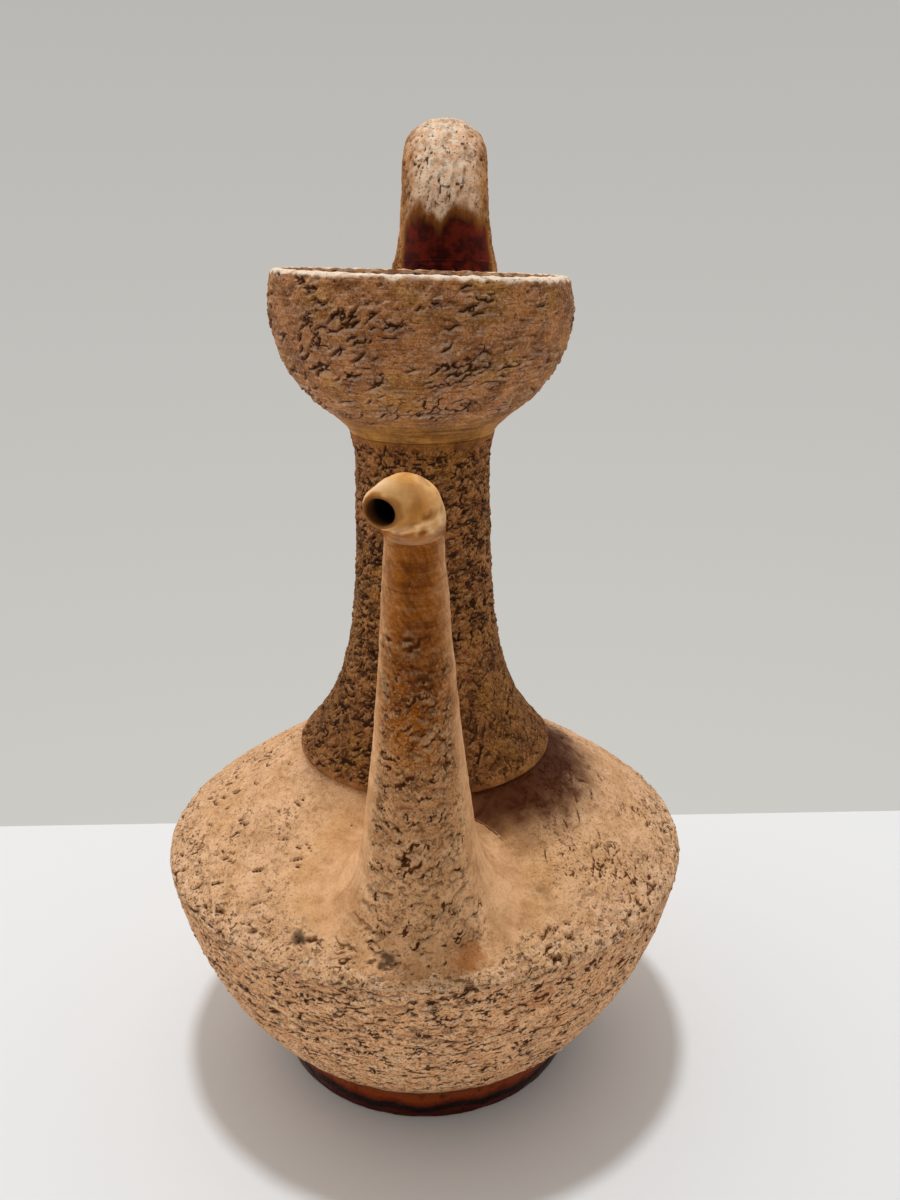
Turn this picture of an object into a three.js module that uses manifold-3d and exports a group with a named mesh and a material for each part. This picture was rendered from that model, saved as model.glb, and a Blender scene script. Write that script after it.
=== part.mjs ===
// Stoneware oil jug: thrown body, trumpet neck, cup mouth, pulled spout and handle, glazed inside.
// Millimetres, +Z up. The origin is on the table under the turning axis, the spout faces -Y.
import * as THREE from 'three';
import { mergeVertices } from 'three/addons/utils/BufferGeometryUtils.js';
import Module from 'manifold-3d';

const wasm = await Module();
wasm.setup();

// Facets: steps along each curve and in a search, and how far the steps crowd towards a flare
const TURN_SIDES = 40;
const TUBE_SIDES = 20;
const OUTER_STEPS = 8;
const INNER_STEPS = 5;
const ROUND_STEPS = 2;
const NECK_STEPS = 9;
const BORE_STEPS = 6;
const SPOUT_STEPS = 8;
const FILLET_STEPS = 5;
const BEAK_STEPS = 10;
const HANDLE_STEPS = { root: 5, leg: 2, arch: 12, back: 12 };
const FLARE_CROWDING = 1.6;
const MERGE_DISTANCE = 1e-4;
const SEARCH_STEPS = 40;

// Walls and joints
const CLEARANCE = 0.3;
const GLAZE = 0.7;
const BODY_WALL = 6;

// Foot, a turned disc with a recess under it
const FOOT_R = 46;
const FOOT_SPLAY = 1;
const FOOT_HEIGHT = 10;
const FOOT_BEVEL = 0.4;
const FOOT_RING_WIDTH = 10;
const RECESS_DEPTH = 5;

// Lower bowl, which stands out over the foot and swells to the keel
const FLOOR = 5;
const BODY_OVERHANG = 8;
const EDGE_RISE = 6.5;
const UNDERCUT = 6.6;
const HEEL_INSET = 12;
const KEEL_R = 78.2;
const BOWL_HEIGHT = 55;
const BOWL_SWELL_INSET = 5.8;
const BOWL_SWELL_RISE = 21.3;

// Shoulder, from the keel up to the seat of the neck
const SHOULDER_HEIGHT = 29.7;
const SHOULDER_SWELL_INSET = 3.2;
const SHOULDER_SWELL_RISE = 5.9;
const SEAT_DEPTH = 5;

// Neck, a trumpet with a rolled lip that overhangs its seat
const NECK_LENGTH = 93.8;
const LIP_R = 37.2;
const LIP_HEIGHT = 2.8;
const LIP_ROUND = 1.2;
const LIP_TUCK = 0.3;
const LIP_OVERHANG = 1.2;
const LIP_WALL = 7.2;
const NECK_R = 18.4;
const NECK_WALL = 4.4;
const FLARE_LENGTH = 18;

// Cup, part of an ellipsoid that closes in again above its equator
const CUP_R = 40.3;
const CUP_DEPTH = 35;
const CUP_WALL = 4.8;
const CUP_EQUATOR_RISE = 33;
const RIM_RISE = 9;
const RIM_ROUND = 1.8;
const THROAT_WIDTH = 2.6;

// Spout tube, a slim taper that leans away from the neck, with its root smeared out over the shoulder
const SPOUT_INSET = 21.2;
const SPOUT_LEAN_DEGREES = 12.3;
const SPOUT_LENGTH = 102.4;
const SPOUT_ROOT_R = 16.6;
const SPOUT_TOP_R = 6.5;
const SPOUT_ROOT_WALL = 5;
const SPOUT_TOP_WALL = 2.9;
const SPOUT_WAIST = 1.1;
const FILLET_FRONT = 5;
const FILLET_BACK = 4;
const FILLET_SIDE = 12;
const FILLET_RISE_RATIO = 1.7;
const FILLET_SINK = 4;
const BORE_SINK = 24;

// Beak at the top of the spout, bent to one side
const BEAK_RISE = 8.6;
const BEAK_REACH = 12;
const BEAK_TURN_DEGREES = 36;
const BEAK_SWELL = 1.1;
const BEAK_MOUTH_R = 4.2;
const BEAK_WALL = 1.3;

// Handle, pulled from the back of the rim to the shoulder
const HANDLE_X = 6;
const HANDLE_STANDOFF = 5.7;
const HANDLE_SPAN = 37;
const HANDLE_RISE = 42;
const HANDLE_WIDTH = 26;
const HANDLE_THICKNESS = 20;
const HANDLE_TAPER = 2;
const HANDLE_FLARE = 6;
const HANDLE_FLARE_FADE = 9;
const HANDLE_ROOT_DROP = 17;
const HANDLE_ROOT_INSET = 16;
const HANDLE_FOOT_INSET = 18.2;
const HANDLE_FOOT_RISE = 40;
const HANDLE_FOOT_SINK = 8;

// Finish of each piece
const CLAY_ROUGHNESS = 0.92;
const GLAZE_ROUGHNESS = 0.22;
const CLAY_SAND = '#b98d66';
const CLAY_PINK = '#a5764f';
const CLAY_BARK = '#8a613d';
const CLAY_SMOOTH = '#c39a63';
const CLAY_PALE = '#b88d68';
const GLAZE_BROWN = '#4a170a';

const point = (r, z) => new THREE.Vector2(r, z);
const radians = THREE.MathUtils.degToRad;

// Points of a curve that leaves its start and reaches its end along the lines through the bend point
function bentCurve(start, bend, end, steps) {
  return new THREE.QuadraticBezierCurve(start, bend, end).getPoints(steps);
}

// Moves an open outline sideways to its left, with mitred corners
function offset(outline, distance) {
  const normals = outline.slice(1).map((end, i) => {
    const along = end.clone().sub(outline[i]).normalize();
    return point(-along.y, along.x);
  });
  return outline.map((corner, i) => {
    const before = normals[Math.max(i - 1, 0)];
    const after = normals[Math.min(i, normals.length - 1)];
    const mitre = before.clone().add(after).normalize();
    return corner.clone().addScaledVector(mitre, distance / mitre.dot(after));
  });
}

// Closed solid of a geometry, without its repeated vertices and collapsed triangles
function solidOf(geometry) {
  geometry.deleteAttribute('normal');
  geometry.deleteAttribute('uv');
  const merged = mergeVertices(geometry, MERGE_DISTANCE);
  const index = merged.index.array;
  const triangles = [];
  for (let i = 0; i < index.length; i += 3) {
    const [a, b, c] = index.slice(i, i + 3);
    if (a !== b && b !== c && c !== a) triangles.push(a, b, c);
  }
  return new wasm.Manifold(new wasm.Mesh({
    numProp: 3,
    vertProperties: new Float32Array(merged.attributes.position.array),
    triVerts: new Uint32Array(triangles),
  }));
}

// Solid turned about the jug's axis, from an outline that closes on itself or starts and ends on the axis
function turned(outline) {
  const closed = outline[0].x === 0 ? outline : [...outline, outline[0]];
  const lathe = new THREE.LatheGeometry(closed, TURN_SIDES);
  lathe.rotateX(Math.PI / 2);
  return solidOf(lathe);
}

// Triangles between two rings, given by the numbers of their first points
function ringBand(low, high, sides) {
  const quads = Array.from({ length: sides }, (_, side) => {
    const next = (side + 1) % sides;
    return [low + side, low + next, high + next, low + side, high + next, high + side];
  });
  return quads.flat();
}

// Solid through a row of rings with equal point counts, closed by a fan at each end
function lofted(rings) {
  const sides = rings[0].length;
  const middles = [rings[0], rings.at(-1)].map((ring) => {
    const sum = ring.reduce((total, corner) => total.add(corner), new THREE.Vector3());
    return sum.divideScalar(sides);
  });
  const first = rings.length * sides;
  const last = first - sides;
  const index = rings.slice(1).flatMap((_, ring) => ringBand(ring * sides, (ring + 1) * sides, sides));
  for (let side = 0; side < sides; side += 1) {
    const next = (side + 1) % sides;
    index.push(first, next, side, first + 1, last + side, last + next);
  }
  const geometry = new THREE.BufferGeometry().setFromPoints([...rings.flat(), ...middles]);
  geometry.setIndex(index);
  return solidOf(geometry);
}

// Solid between an outer and an inner row of rings, open through the middle
function hollowLoft(outer, inner) {
  const rings = [...outer, ...inner.reverse()];
  const sides = outer[0].length;
  const index = rings.flatMap((_, ring) => {
    const next = (ring + 1) % rings.length;
    return ringBand(ring * sides, next * sides, sides);
  });
  const geometry = new THREE.BufferGeometry().setFromPoints(rings.flat());
  geometry.setIndex(index);
  return solidOf(geometry);
}

// Oval ring about a centre, in the plane of two unit vectors
function oval(centre, across, up, width, height) {
  return Array.from({ length: TUBE_SIDES }, (_, side) => {
    const angle = (2 * Math.PI * side) / TUBE_SIDES;
    return centre.clone()
      .addScaledVector(across, (width / 2) * Math.cos(angle))
      .addScaledVector(up, (height / 2) * Math.sin(angle));
  });
}

// Heights of the joints above the table, and the radii that neighbours share
const floorZ = FOOT_HEIGHT + FLOOR;
const edgeZ = FOOT_HEIGHT + EDGE_RISE;
const keelZ = edgeZ + BOWL_HEIGHT;
const seatZ = keelZ + SHOULDER_HEIGHT;
const cupSeatZ = seatZ + NECK_LENGTH;
const equatorZ = cupSeatZ + CUP_EQUATOR_RISE;
const rimZ = equatorZ + RIM_RISE;
const edgeR = FOOT_R + BODY_OVERHANG;
const keelBoreR = KEEL_R - BODY_WALL;
const seatR = LIP_R - LIP_OVERHANG;
const seatBoreR = LIP_R - LIP_WALL;

// Outlines of the thrown pieces, as radius and height

function bowlOutside() {
  const bend = point(KEEL_R - BOWL_SWELL_INSET, edgeZ + BOWL_SWELL_RISE);
  const side = bentCurve(point(edgeR, edgeZ), bend, point(KEEL_R, keelZ), OUTER_STEPS);
  return [point(edgeR - UNDERCUT, FOOT_HEIGHT), ...side];
}

function bowlInside() {
  const start = point(edgeR - HEEL_INSET, floorZ);
  const bend = point(keelBoreR - BOWL_SWELL_INSET, edgeZ + BOWL_SWELL_RISE);
  return bentCurve(start, bend, point(keelBoreR, keelZ), INNER_STEPS);
}

function shoulderOutside() {
  const bend = point(KEEL_R - SHOULDER_SWELL_INSET, keelZ + SHOULDER_SWELL_RISE);
  return bentCurve(point(KEEL_R, keelZ), bend, point(seatR, seatZ), OUTER_STEPS);
}

function shoulderInside() {
  const bendZ = keelZ + SHOULDER_SWELL_RISE - BODY_WALL / 2;
  const bend = point(keelBoreR - SHOULDER_SWELL_INSET, bendZ);
  return bentCurve(point(keelBoreR, keelZ), bend, point(seatBoreR, seatZ - SEAT_DEPTH), INNER_STEPS);
}

// Height of the shoulder's outer face at a radius, between the points of its outline
function shoulderHeightAt(radius) {
  const r = THREE.MathUtils.clamp(radius, seatR, KEEL_R);
  const outline = shoulderOutside();
  const above = Math.max(outline.findIndex((corner) => corner.x <= r), 1);
  const [a, b] = [outline[above - 1], outline[above]];
  return a.y + ((b.y - a.y) * (r - a.x)) / (b.x - a.x);
}

// Trumpet curve: the radius falls off from the mouth radius towards the waist radius with height
function trumpet(mouthR, waistR, bottomZ, steps) {
  const height = cupSeatZ - bottomZ;
  return Array.from({ length: steps + 1 }, (_, step) => {
    const z = bottomZ + height * (step / steps) ** FLARE_CROWDING;
    const fade = Math.exp((bottomZ - z) / FLARE_LENGTH);
    return point(waistR + (mouthR - waistR) * fade, z);
  });
}

const neckOutside = () => trumpet(LIP_R - LIP_TUCK, NECK_R, seatZ + LIP_HEIGHT, NECK_STEPS);
const neckInside = () => trumpet(seatBoreR, NECK_R - NECK_WALL, seatZ, BORE_STEPS);

// Part of an ellipse about the cup's equator, from one radius up past the equator to a height
function cupArc(equatorR, depth, startR, endZ, steps) {
  const from = Math.acos(startR / equatorR);
  const to = -Math.asin((endZ - equatorZ) / depth);
  return Array.from({ length: steps + 1 }, (_, step) => {
    const angle = from + (to - from) * (step / steps);
    return point(equatorR * Math.cos(angle), equatorZ - depth * Math.sin(angle));
  });
}

function cupOutside() {
  const seat = neckOutside().at(-1);
  const bowl = cupArc(CUP_R, CUP_DEPTH, seat.x + THROAT_WIDTH, rimZ - RIM_ROUND, OUTER_STEPS);
  const bend = point(seat.x, (seat.y + bowl[0].y) / 2);
  return [...bentCurve(seat, bend, bowl[0], ROUND_STEPS).slice(0, -1), ...bowl];
}

function cupInside() {
  const throat = neckInside().at(-1);
  const depth = CUP_DEPTH - CUP_WALL;
  const startR = throat.x + THROAT_WIDTH;
  return [throat, ...cupArc(CUP_R - CUP_WALL, depth, startR, rimZ - RIM_ROUND, BORE_STEPS)];
}

// Inner face of the whole jug, from the middle of the floor up to the rim
function innerWall() {
  return [
    point(0, floorZ),
    ...bowlInside(),
    ...shoulderInside().slice(1),
    ...neckInside(),
    ...cupInside().slice(1),
  ];
}

// Outer faces grown by the clearance and filled, to cut what is luted on to them
function bodyEnvelope() {
  const outside = [...bowlOutside(), ...shoulderOutside().slice(1)];
  const grown = offset(outside, -CLEARANCE);
  return turned([point(0, grown[0].y), ...grown, point(0, grown.at(-1).y)]);
}

function cupEnvelope() {
  const grown = offset(cupOutside(), -CLEARANCE);
  const top = rimZ + CLEARANCE;
  return turned([point(0, grown[0].y), ...grown, point(grown.at(-1).x, top), point(0, top)]);
}

// Thrown pieces

function foot() {
  const clayR = FOOT_R - GLAZE - CLEARANCE;
  const recessR = FOOT_R - FOOT_RING_WIDTH;
  return turned([
    point(0, RECESS_DEPTH),
    point(recessR, RECESS_DEPTH),
    point(recessR, 0),
    point(clayR - FOOT_BEVEL, 0),
    point(clayR, FOOT_BEVEL),
    point(clayR + FOOT_SPLAY, FOOT_HEIGHT),
    point(0, FOOT_HEIGHT),
  ]);
}

function footGlaze() {
  const wall = [point(FOOT_R, FOOT_BEVEL), point(FOOT_R + FOOT_SPLAY, FOOT_HEIGHT - CLEARANCE)];
  return turned([...offset(wall, GLAZE).reverse(), ...wall]);
}

function bodyBowl() {
  return turned([
    point(0, FOOT_HEIGHT),
    ...bowlOutside(),
    ...bowlInside().reverse(),
    point(0, floorZ),
  ]);
}

function bodyShoulder() {
  const wall = turned([
    ...shoulderOutside(),
    point(seatBoreR, seatZ),
    ...shoulderInside().reverse(),
  ]);
  return wall.subtract(spoutBore());
}

function neck() {
  return turned([
    point(LIP_R - LIP_ROUND, seatZ),
    point(LIP_R, seatZ + LIP_ROUND),
    ...neckOutside(),
    ...neckInside().reverse(),
  ]);
}

function cup() {
  const outside = cupOutside();
  const inside = cupInside();
  const [outerR, innerR] = [outside.at(-1).x, inside.at(-1).x];
  const rimMiddle = [point(outerR - RIM_ROUND, rimZ), point(innerR + RIM_ROUND, rimZ)];
  const outerRim = bentCurve(outside.at(-1), point(outerR, rimZ), rimMiddle[0], ROUND_STEPS);
  const innerRim = bentCurve(rimMiddle[1], point(innerR, rimZ), inside.at(-1), ROUND_STEPS);
  return turned([...outside, ...outerRim.slice(1), ...innerRim, ...inside.reverse().slice(1)]);
}

function linerGlaze() {
  const back = offset(innerWall(), CLEARANCE);
  const face = offset(innerWall(), CLEARANCE + GLAZE);
  return turned([...back, ...face.reverse()]).subtract(spoutBore());
}

// Spout: a tube on a straight, leaning axis, measured from its root on the shoulder

const lean = radians(SPOUT_LEAN_DEGREES);
const spoutUp = new THREE.Vector3(0, -Math.sin(lean), Math.cos(lean));
const spoutAcross = new THREE.Vector3(1, 0, 0);
const spoutRootR = KEEL_R - SPOUT_INSET;
const spoutRoot = new THREE.Vector3(0, -spoutRootR, shoulderHeightAt(spoutRootR));

const alongSpout = (distance) => spoutRoot.clone().addScaledVector(spoutUp, distance);

function spoutRing(distance, radius) {
  const back = new THREE.Vector3().crossVectors(spoutUp, spoutAcross);
  return oval(alongSpout(distance), spoutAcross, back, 2 * radius, 2 * radius);
}

function taper(distance, rootR, topR) {
  return rootR + (topR - rootR) * (distance / SPOUT_LENGTH);
}

// Outer radius of the tube, slimmest half way up
function tubeR(distance) {
  const share = THREE.MathUtils.clamp(distance / SPOUT_LENGTH, 0, 1);
  return taper(distance, SPOUT_ROOT_R, SPOUT_TOP_R) - SPOUT_WAIST * Math.sin(Math.PI * share);
}

const besideSpout = (distance, r, out) => alongSpout(distance).addScaledVector(out, r);

// Distance along the spout's axis at which the shoulder lies, at a radius from the axis in one direction
function shoulderAlong(r, out) {
  let [low, high] = [-SPOUT_LENGTH, SPOUT_LENGTH];
  for (let step = 0; step < SEARCH_STEPS; step += 1) {
    const middle = (low + high) / 2;
    const spot = besideSpout(middle, r, out);
    const isAbove = spot.z > shoulderHeightAt(Math.hypot(spot.x, spot.y));
    [low, high] = isAbove ? [low, middle] : [middle, high];
  }
  return (low + high) / 2;
}

// One side of the tube: from under the shoulder, up the fillet that the thumb smeared, to the top
function spoutSide(angle) {
  const back = new THREE.Vector3().crossVectors(spoutUp, spoutAcross);
  const out = spoutAcross.clone().multiplyScalar(Math.cos(angle)).addScaledVector(back, Math.sin(angle));
  const facing = Math.sin(angle) ** 2;
  const fillet = THREE.MathUtils.lerp(FILLET_SIDE, out.y > 0 ? FILLET_BACK : FILLET_FRONT, facing);
  let rootAt = 0;
  for (let step = 0; step < SEARCH_STEPS; step += 1) rootAt = shoulderAlong(tubeR(rootAt), out);
  const edgeAt = tubeR(rootAt) + fillet;
  const edge = point(edgeAt, shoulderAlong(edgeAt, out));
  const buried = point(edge.x - FILLET_SINK, edge.y - FILLET_SINK);
  const topAt = rootAt + fillet * FILLET_RISE_RATIO;
  const curve = bentCurve(edge, point(tubeR(rootAt), rootAt), point(tubeR(topAt), topAt), FILLET_STEPS);
  const tube = Array.from({ length: SPOUT_STEPS }, (_, step) => {
    const distance = THREE.MathUtils.lerp(topAt, SPOUT_LENGTH, (step + 1) / SPOUT_STEPS);
    return point(tubeR(distance), distance);
  });
  return [buried, ...curve, ...tube].map((spot) => besideSpout(spot.y, spot.x, out));
}

function spoutOuter() {
  const angles = Array.from({ length: TUBE_SIDES }, (_, side) => (2 * Math.PI * side) / TUBE_SIDES);
  const sides = angles.map(spoutSide);
  const rings = sides[0].map((_, row) => sides.map((side) => side[row]));
  return lofted(rings);
}

const spoutBoreTopR = SPOUT_TOP_R - SPOUT_TOP_WALL;

function spoutBore() {
  const ends = [-BORE_SINK, SPOUT_LENGTH + CLEARANCE];
  const rings = ends.map((end) => spoutRing(end, taper(end, SPOUT_ROOT_R - SPOUT_ROOT_WALL, spoutBoreTopR)));
  return lofted(rings);
}

function spoutTube() {
  return spoutOuter().subtract(spoutBore()).subtract(bodyEnvelope());
}

// Beak: bends from the tube's axis to a level nozzle that is turned to one side

const turn = radians(BEAK_TURN_DEGREES);
const beakForward = new THREE.Vector3(-Math.sin(turn), -Math.cos(turn), 0);
const beakOutward = spoutUp.clone().sub(beakForward).normalize();

function beakPath() {
  const seam = alongSpout(SPOUT_LENGTH + CLEARANCE);
  const elbow = seam.clone().addScaledVector(spoutUp, BEAK_RISE);
  const mouth = elbow.clone().addScaledVector(beakForward, BEAK_REACH);
  return new THREE.QuadraticBezierCurve3(seam, elbow, mouth);
}

// Rings along the beak, which swell on the outside of the bend
function beakRings(seamR, mouthR, swell) {
  const path = beakPath();
  const { tangents, normals, binormals } = path.computeFrenetFrames(BEAK_STEPS);
  return tangents.map((_, step) => {
    const share = step / BEAK_STEPS;
    const bulge = swell * Math.sin(Math.PI * share);
    const radius = seamR + (mouthR - seamR) * share + bulge;
    const centre = path.getPointAt(share).addScaledVector(beakOutward, bulge);
    return oval(centre, normals[step], binormals[step], 2 * radius, 2 * radius);
  });
}

function spoutBeak() {
  const outer = beakRings(SPOUT_TOP_R, BEAK_MOUTH_R, BEAK_SWELL);
  const bore = beakRings(spoutBoreTopR, BEAK_MOUTH_R - BEAK_WALL, 0);
  return hollowLoft(outer, bore);
}

// Handle: up from the rim, over a round arch and down to the shoulder, in one upright plane

function handlePath() {
  const frontY = CUP_R + HANDLE_STANDOFF;
  const backY = frontY + HANDLE_SPAN;
  const archR = HANDLE_SPAN / 2;
  const springZ = rimZ + HANDLE_RISE - HANDLE_THICKNESS / 2 - archR;
  const footY = KEEL_R - HANDLE_FOOT_INSET;
  const footZ = shoulderHeightAt(footY);
  const path = new THREE.Path();
  path.moveTo(frontY - HANDLE_ROOT_INSET, rimZ - HANDLE_ROOT_DROP);
  path.quadraticCurveTo(frontY, rimZ - HANDLE_ROOT_DROP / 2, frontY, rimZ);
  path.lineTo(frontY, springZ);
  path.absarc(frontY + archR, springZ, archR, Math.PI, 0, true);
  path.bezierCurveTo(backY, cupSeatZ, backY, footZ + HANDLE_FOOT_RISE, footY, footZ - HANDLE_FOOT_SINK);
  return path;
}

// Oval section at a distance along the handle, wider where it is pressed on to the rim and the shoulder
function handleRing(path, along) {
  const length = path.getLength();
  const share = along / length;
  const spot = path.getPointAt(share);
  const tangent = path.getTangentAt(share);
  const up = new THREE.Vector3(0, tangent.y, -tangent.x);
  const fromRim = Math.max(along - path.curves[0].getLength(), 0);
  const fromFoot = Math.max(length - along - HANDLE_FOOT_SINK, 0);
  const flare = HANDLE_FLARE * Math.exp(-Math.min(fromRim, fromFoot) / HANDLE_FLARE_FADE);
  const thinning = HANDLE_TAPER * share;
  const centre = new THREE.Vector3(HANDLE_X, spot.x, spot.y);
  const across = new THREE.Vector3(1, 0, 0);
  return oval(centre, across, up, HANDLE_WIDTH - thinning + flare, HANDLE_THICKNESS - thinning);
}

function handle() {
  const path = handlePath();
  const stations = [0];
  Object.values(HANDLE_STEPS).forEach((steps, i) => {
    const start = stations.at(-1);
    const span = path.curves[i].getLength();
    for (let step = 1; step <= steps; step += 1) stations.push(start + (span * step) / steps);
  });
  const rings = stations.map((along) => handleRing(path, Math.min(along, path.getLength())));
  return lofted(rings).subtract(cupEnvelope()).subtract(bodyEnvelope());
}

// Scene graph

function clay(color) {
  return new THREE.MeshStandardMaterial({ color, roughness: CLAY_ROUGHNESS, metalness: 0 });
}

function glaze() {
  return new THREE.MeshStandardMaterial({ color: GLAZE_BROWN, roughness: GLAZE_ROUGHNESS, metalness: 0 });
}

function piece(name, solid, material) {
  const { vertProperties, triVerts } = solid.getMesh();
  const geometry = new THREE.BufferGeometry();
  geometry.setAttribute('position', new THREE.BufferAttribute(new Float32Array(vertProperties), 3));
  geometry.setIndex(new THREE.BufferAttribute(new Uint32Array(triVerts), 1));
  geometry.computeVertexNormals();
  const mesh = new THREE.Mesh(geometry, material);
  mesh.name = name;
  return mesh;
}

const jug = new THREE.Group();
jug.add(
  piece('foot', foot(), clay(CLAY_PALE)),
  piece('foot_glaze', footGlaze(), glaze()),
  piece('body_bowl', bodyBowl(), clay(CLAY_PINK)),
  piece('body_shoulder', bodyShoulder(), clay(CLAY_SAND)),
  piece('neck', neck(), clay(CLAY_BARK)),
  piece('cup', cup(), clay(CLAY_PINK)),
  piece('liner_glaze', linerGlaze(), glaze()),
  piece('spout_tube', spoutTube(), clay(CLAY_SAND)),
  piece('spout_beak', spoutBeak(), clay(CLAY_SMOOTH)),
  piece('handle', handle(), clay(CLAY_PALE)),
);

export default jug;
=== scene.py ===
"""Stoneware oil jug of torn clay and red-brown glaze. Shapes are worked out in millimetres."""
import math

import bpy
import numpy as np
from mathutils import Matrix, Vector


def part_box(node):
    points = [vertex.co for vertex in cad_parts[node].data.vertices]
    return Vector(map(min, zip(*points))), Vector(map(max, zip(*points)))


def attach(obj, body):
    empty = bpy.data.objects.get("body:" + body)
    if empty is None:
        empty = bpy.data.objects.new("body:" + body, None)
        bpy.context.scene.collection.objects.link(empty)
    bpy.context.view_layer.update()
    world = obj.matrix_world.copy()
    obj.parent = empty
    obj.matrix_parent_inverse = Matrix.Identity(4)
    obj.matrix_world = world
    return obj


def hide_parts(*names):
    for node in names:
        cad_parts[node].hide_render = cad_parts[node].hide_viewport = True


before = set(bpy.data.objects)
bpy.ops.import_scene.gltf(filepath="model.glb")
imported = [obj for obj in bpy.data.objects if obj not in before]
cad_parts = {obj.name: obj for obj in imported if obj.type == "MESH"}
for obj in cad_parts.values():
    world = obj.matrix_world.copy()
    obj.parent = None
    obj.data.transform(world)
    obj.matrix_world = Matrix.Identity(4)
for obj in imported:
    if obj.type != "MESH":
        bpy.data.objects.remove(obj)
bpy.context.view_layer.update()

MM = 0.001


def node_box(name):
    """Lowest and highest corner of a CAD node, in millimetres."""
    return [np.array(corner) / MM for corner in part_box(name)]


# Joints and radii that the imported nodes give
FOOT_TOP = node_box("foot")[1][2]
FOOT_R = node_box("foot_glaze")[1][0]
KEEL_R, _, KEEL_Z = node_box("body_bowl")[1]
SEAT_Z = node_box("body_shoulder")[1][2]
LIP_R, _, CUP_SEAT_Z = node_box("neck")[1]
CUP_R, _, RIM_Z = node_box("cup")[1]
HANDLE_TOP_Z = node_box("handle")[1][2]

# Bowl and shoulder
EDGE_R = 54.0
EDGE_Z = 16.5
UNDERCUT = 6.6
FLOOR_Z = 15.0
HEEL_R = 42.0
BODY_WALL = 6.0
BOWL_BEND = (72.4, 37.8)
SHOULDER_BEND = (75.0, 77.4)
SEAT_R = 36.0
SEAT_BORE_R = 30.0
SEAT_DEPTH = 5.0

# Neck and cup
LIP_HEIGHT = 2.8
LIP_ROUND = 1.2
NECK_R = 18.4
NECK_BORE_R = 14.0
FLARE_LENGTH = 18.0
CUP_EQUATOR_Z = 228.0
CUP_DEPTH = 35.0
CUP_WALL = 4.8
THROAT_WIDTH = 2.6
RIM_ROUND = 1.8
GLAZE = 0.7
CLEARANCE = 0.3

# Spout, measured along its leaning axis from its root on the shoulder
SPOUT_ROOT = np.array([0.0, -57.0, 88.75])
SPOUT_LEAN = math.radians(12.3)
SPOUT_LENGTH = 102.4
SPOUT_ROOT_R = 16.6
SPOUT_TOP_R = 6.5
SPOUT_WAIST = 1.1
SPOUT_BORE_R = (11.6, 3.6)
ROOT_SINK = 14.0
SEAM_GAP = 0.05
BEAK_RISE = 8.6
BEAK_REACH = 12.0
BEAK_TURN = math.radians(36)
BEAK_SWELL = 1.1
BEAK_LEAN = 0.4
BEAK_DROOP = np.array([0.9, 0.0, -1.8])
BEAK_SLANT = 0.36
BEAK_MOUTH_R = 4.2
BEAK_BORE_R = 2.9

# Handle
HANDLE_X = 6.0
HANDLE_FRONT_Y = 46.0
HANDLE_SPAN = 37.0
HANDLE_WIDTH = 26.0
HANDLE_THICKNESS = 20.0
HANDLE_TAPER = 2.0
HANDLE_FLARE = 6.0
HANDLE_FLARE_FADE = 9.0
HANDLE_FOOT_Y = 60.0
HANDLE_FOOT_RISE = 40.0
HANDLE_FOOT_SINK = 8.0

SPOUT_UP = np.array([0.0, -math.sin(SPOUT_LEAN), math.cos(SPOUT_LEAN)])
ACROSS = np.array([1.0, 0.0, 0.0])
SPOUT_BACK = np.cross(SPOUT_UP, ACROSS)


# Noise

GRADIENT_COUNT = 256
NOISE_GAIN = 1.6
SEED_SHIFT = 17.31
noise_source = np.random.default_rng(7)
SHUFFLE = noise_source.permutation(GRADIENT_COUNT)
GRADIENTS = noise_source.normal(size=(GRADIENT_COUNT, 3))
GRADIENTS = (GRADIENTS / np.linalg.norm(GRADIENTS, axis=1, keepdims=True)).astype(np.float32)


def noise(points, size, seed=0):
    """Gradient noise of about -1 to 1 at points in millimetres, with a size for all axes or one for each.
    A seed of its own sets each use of it apart."""
    place = (points / np.asarray(size) + SEED_SHIFT * seed).astype(np.float32)
    cell = np.floor(place).astype(np.int64)
    part = place - cell
    ease = part ** 3 * (part * (part * 6 - 15) + 10)
    total = np.zeros(place.shape[:-1], np.float32)
    for corner in np.ndindex(2, 2, 2):
        x, y, z = np.moveaxis(cell + corner, -1, 0) % GRADIENT_COUNT
        spot = SHUFFLE[(SHUFFLE[(SHUFFLE[x] + y) % GRADIENT_COUNT] + z) % GRADIENT_COUNT]
        pull = np.sum(GRADIENTS[spot] * (part - np.array(corner, np.float32)), axis=-1)
        share = np.prod(np.where(corner, ease, 1 - ease), axis=-1)
        total += pull * share
    return total * NOISE_GAIN


def fractal(points, size, octaves, seed=0):
    """Noise with finer, weaker copies of itself."""
    size = np.asarray(size, float)
    return sum(noise(points, size / 2 ** i, seed + i) * 0.5 ** i for i in range(octaves))


def unit(value):
    """Value held between 0 and 1."""
    return np.clip(value, 0, 1)


def ramp(low, high, value):
    """Value taken smoothly from 0 at low to 1 at high, which may lie below low."""
    share = unit((value - low) / (high - low))
    return share * share * (3 - 2 * share)


# Outlines, as radius and height

def bent_curve(start, bend, end, steps):
    share = np.linspace(0, 1, steps + 1)[:, None]
    start, bend, end = (np.array(p, float) for p in (start, bend, end))
    return (1 - share) ** 2 * start + 2 * share * (1 - share) * bend + share ** 2 * end


def evenly(outline, spacing):
    """The outline's points, moved to equal distances along it."""
    outline = np.asarray(outline, float)
    steps = np.linalg.norm(np.diff(outline, axis=0), axis=1)
    along = np.concatenate([[0], np.cumsum(steps)])
    stations = np.linspace(0, along[-1], max(int(round(along[-1] / spacing)), 1) + 1)
    return np.stack([np.interp(stations, along, outline[:, i]) for i in range(outline.shape[1])], -1)


def directions(line):
    """Unit tangents of a line of points."""
    along = np.gradient(line, axis=0)
    return along / np.linalg.norm(along, axis=1, keepdims=True)


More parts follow.
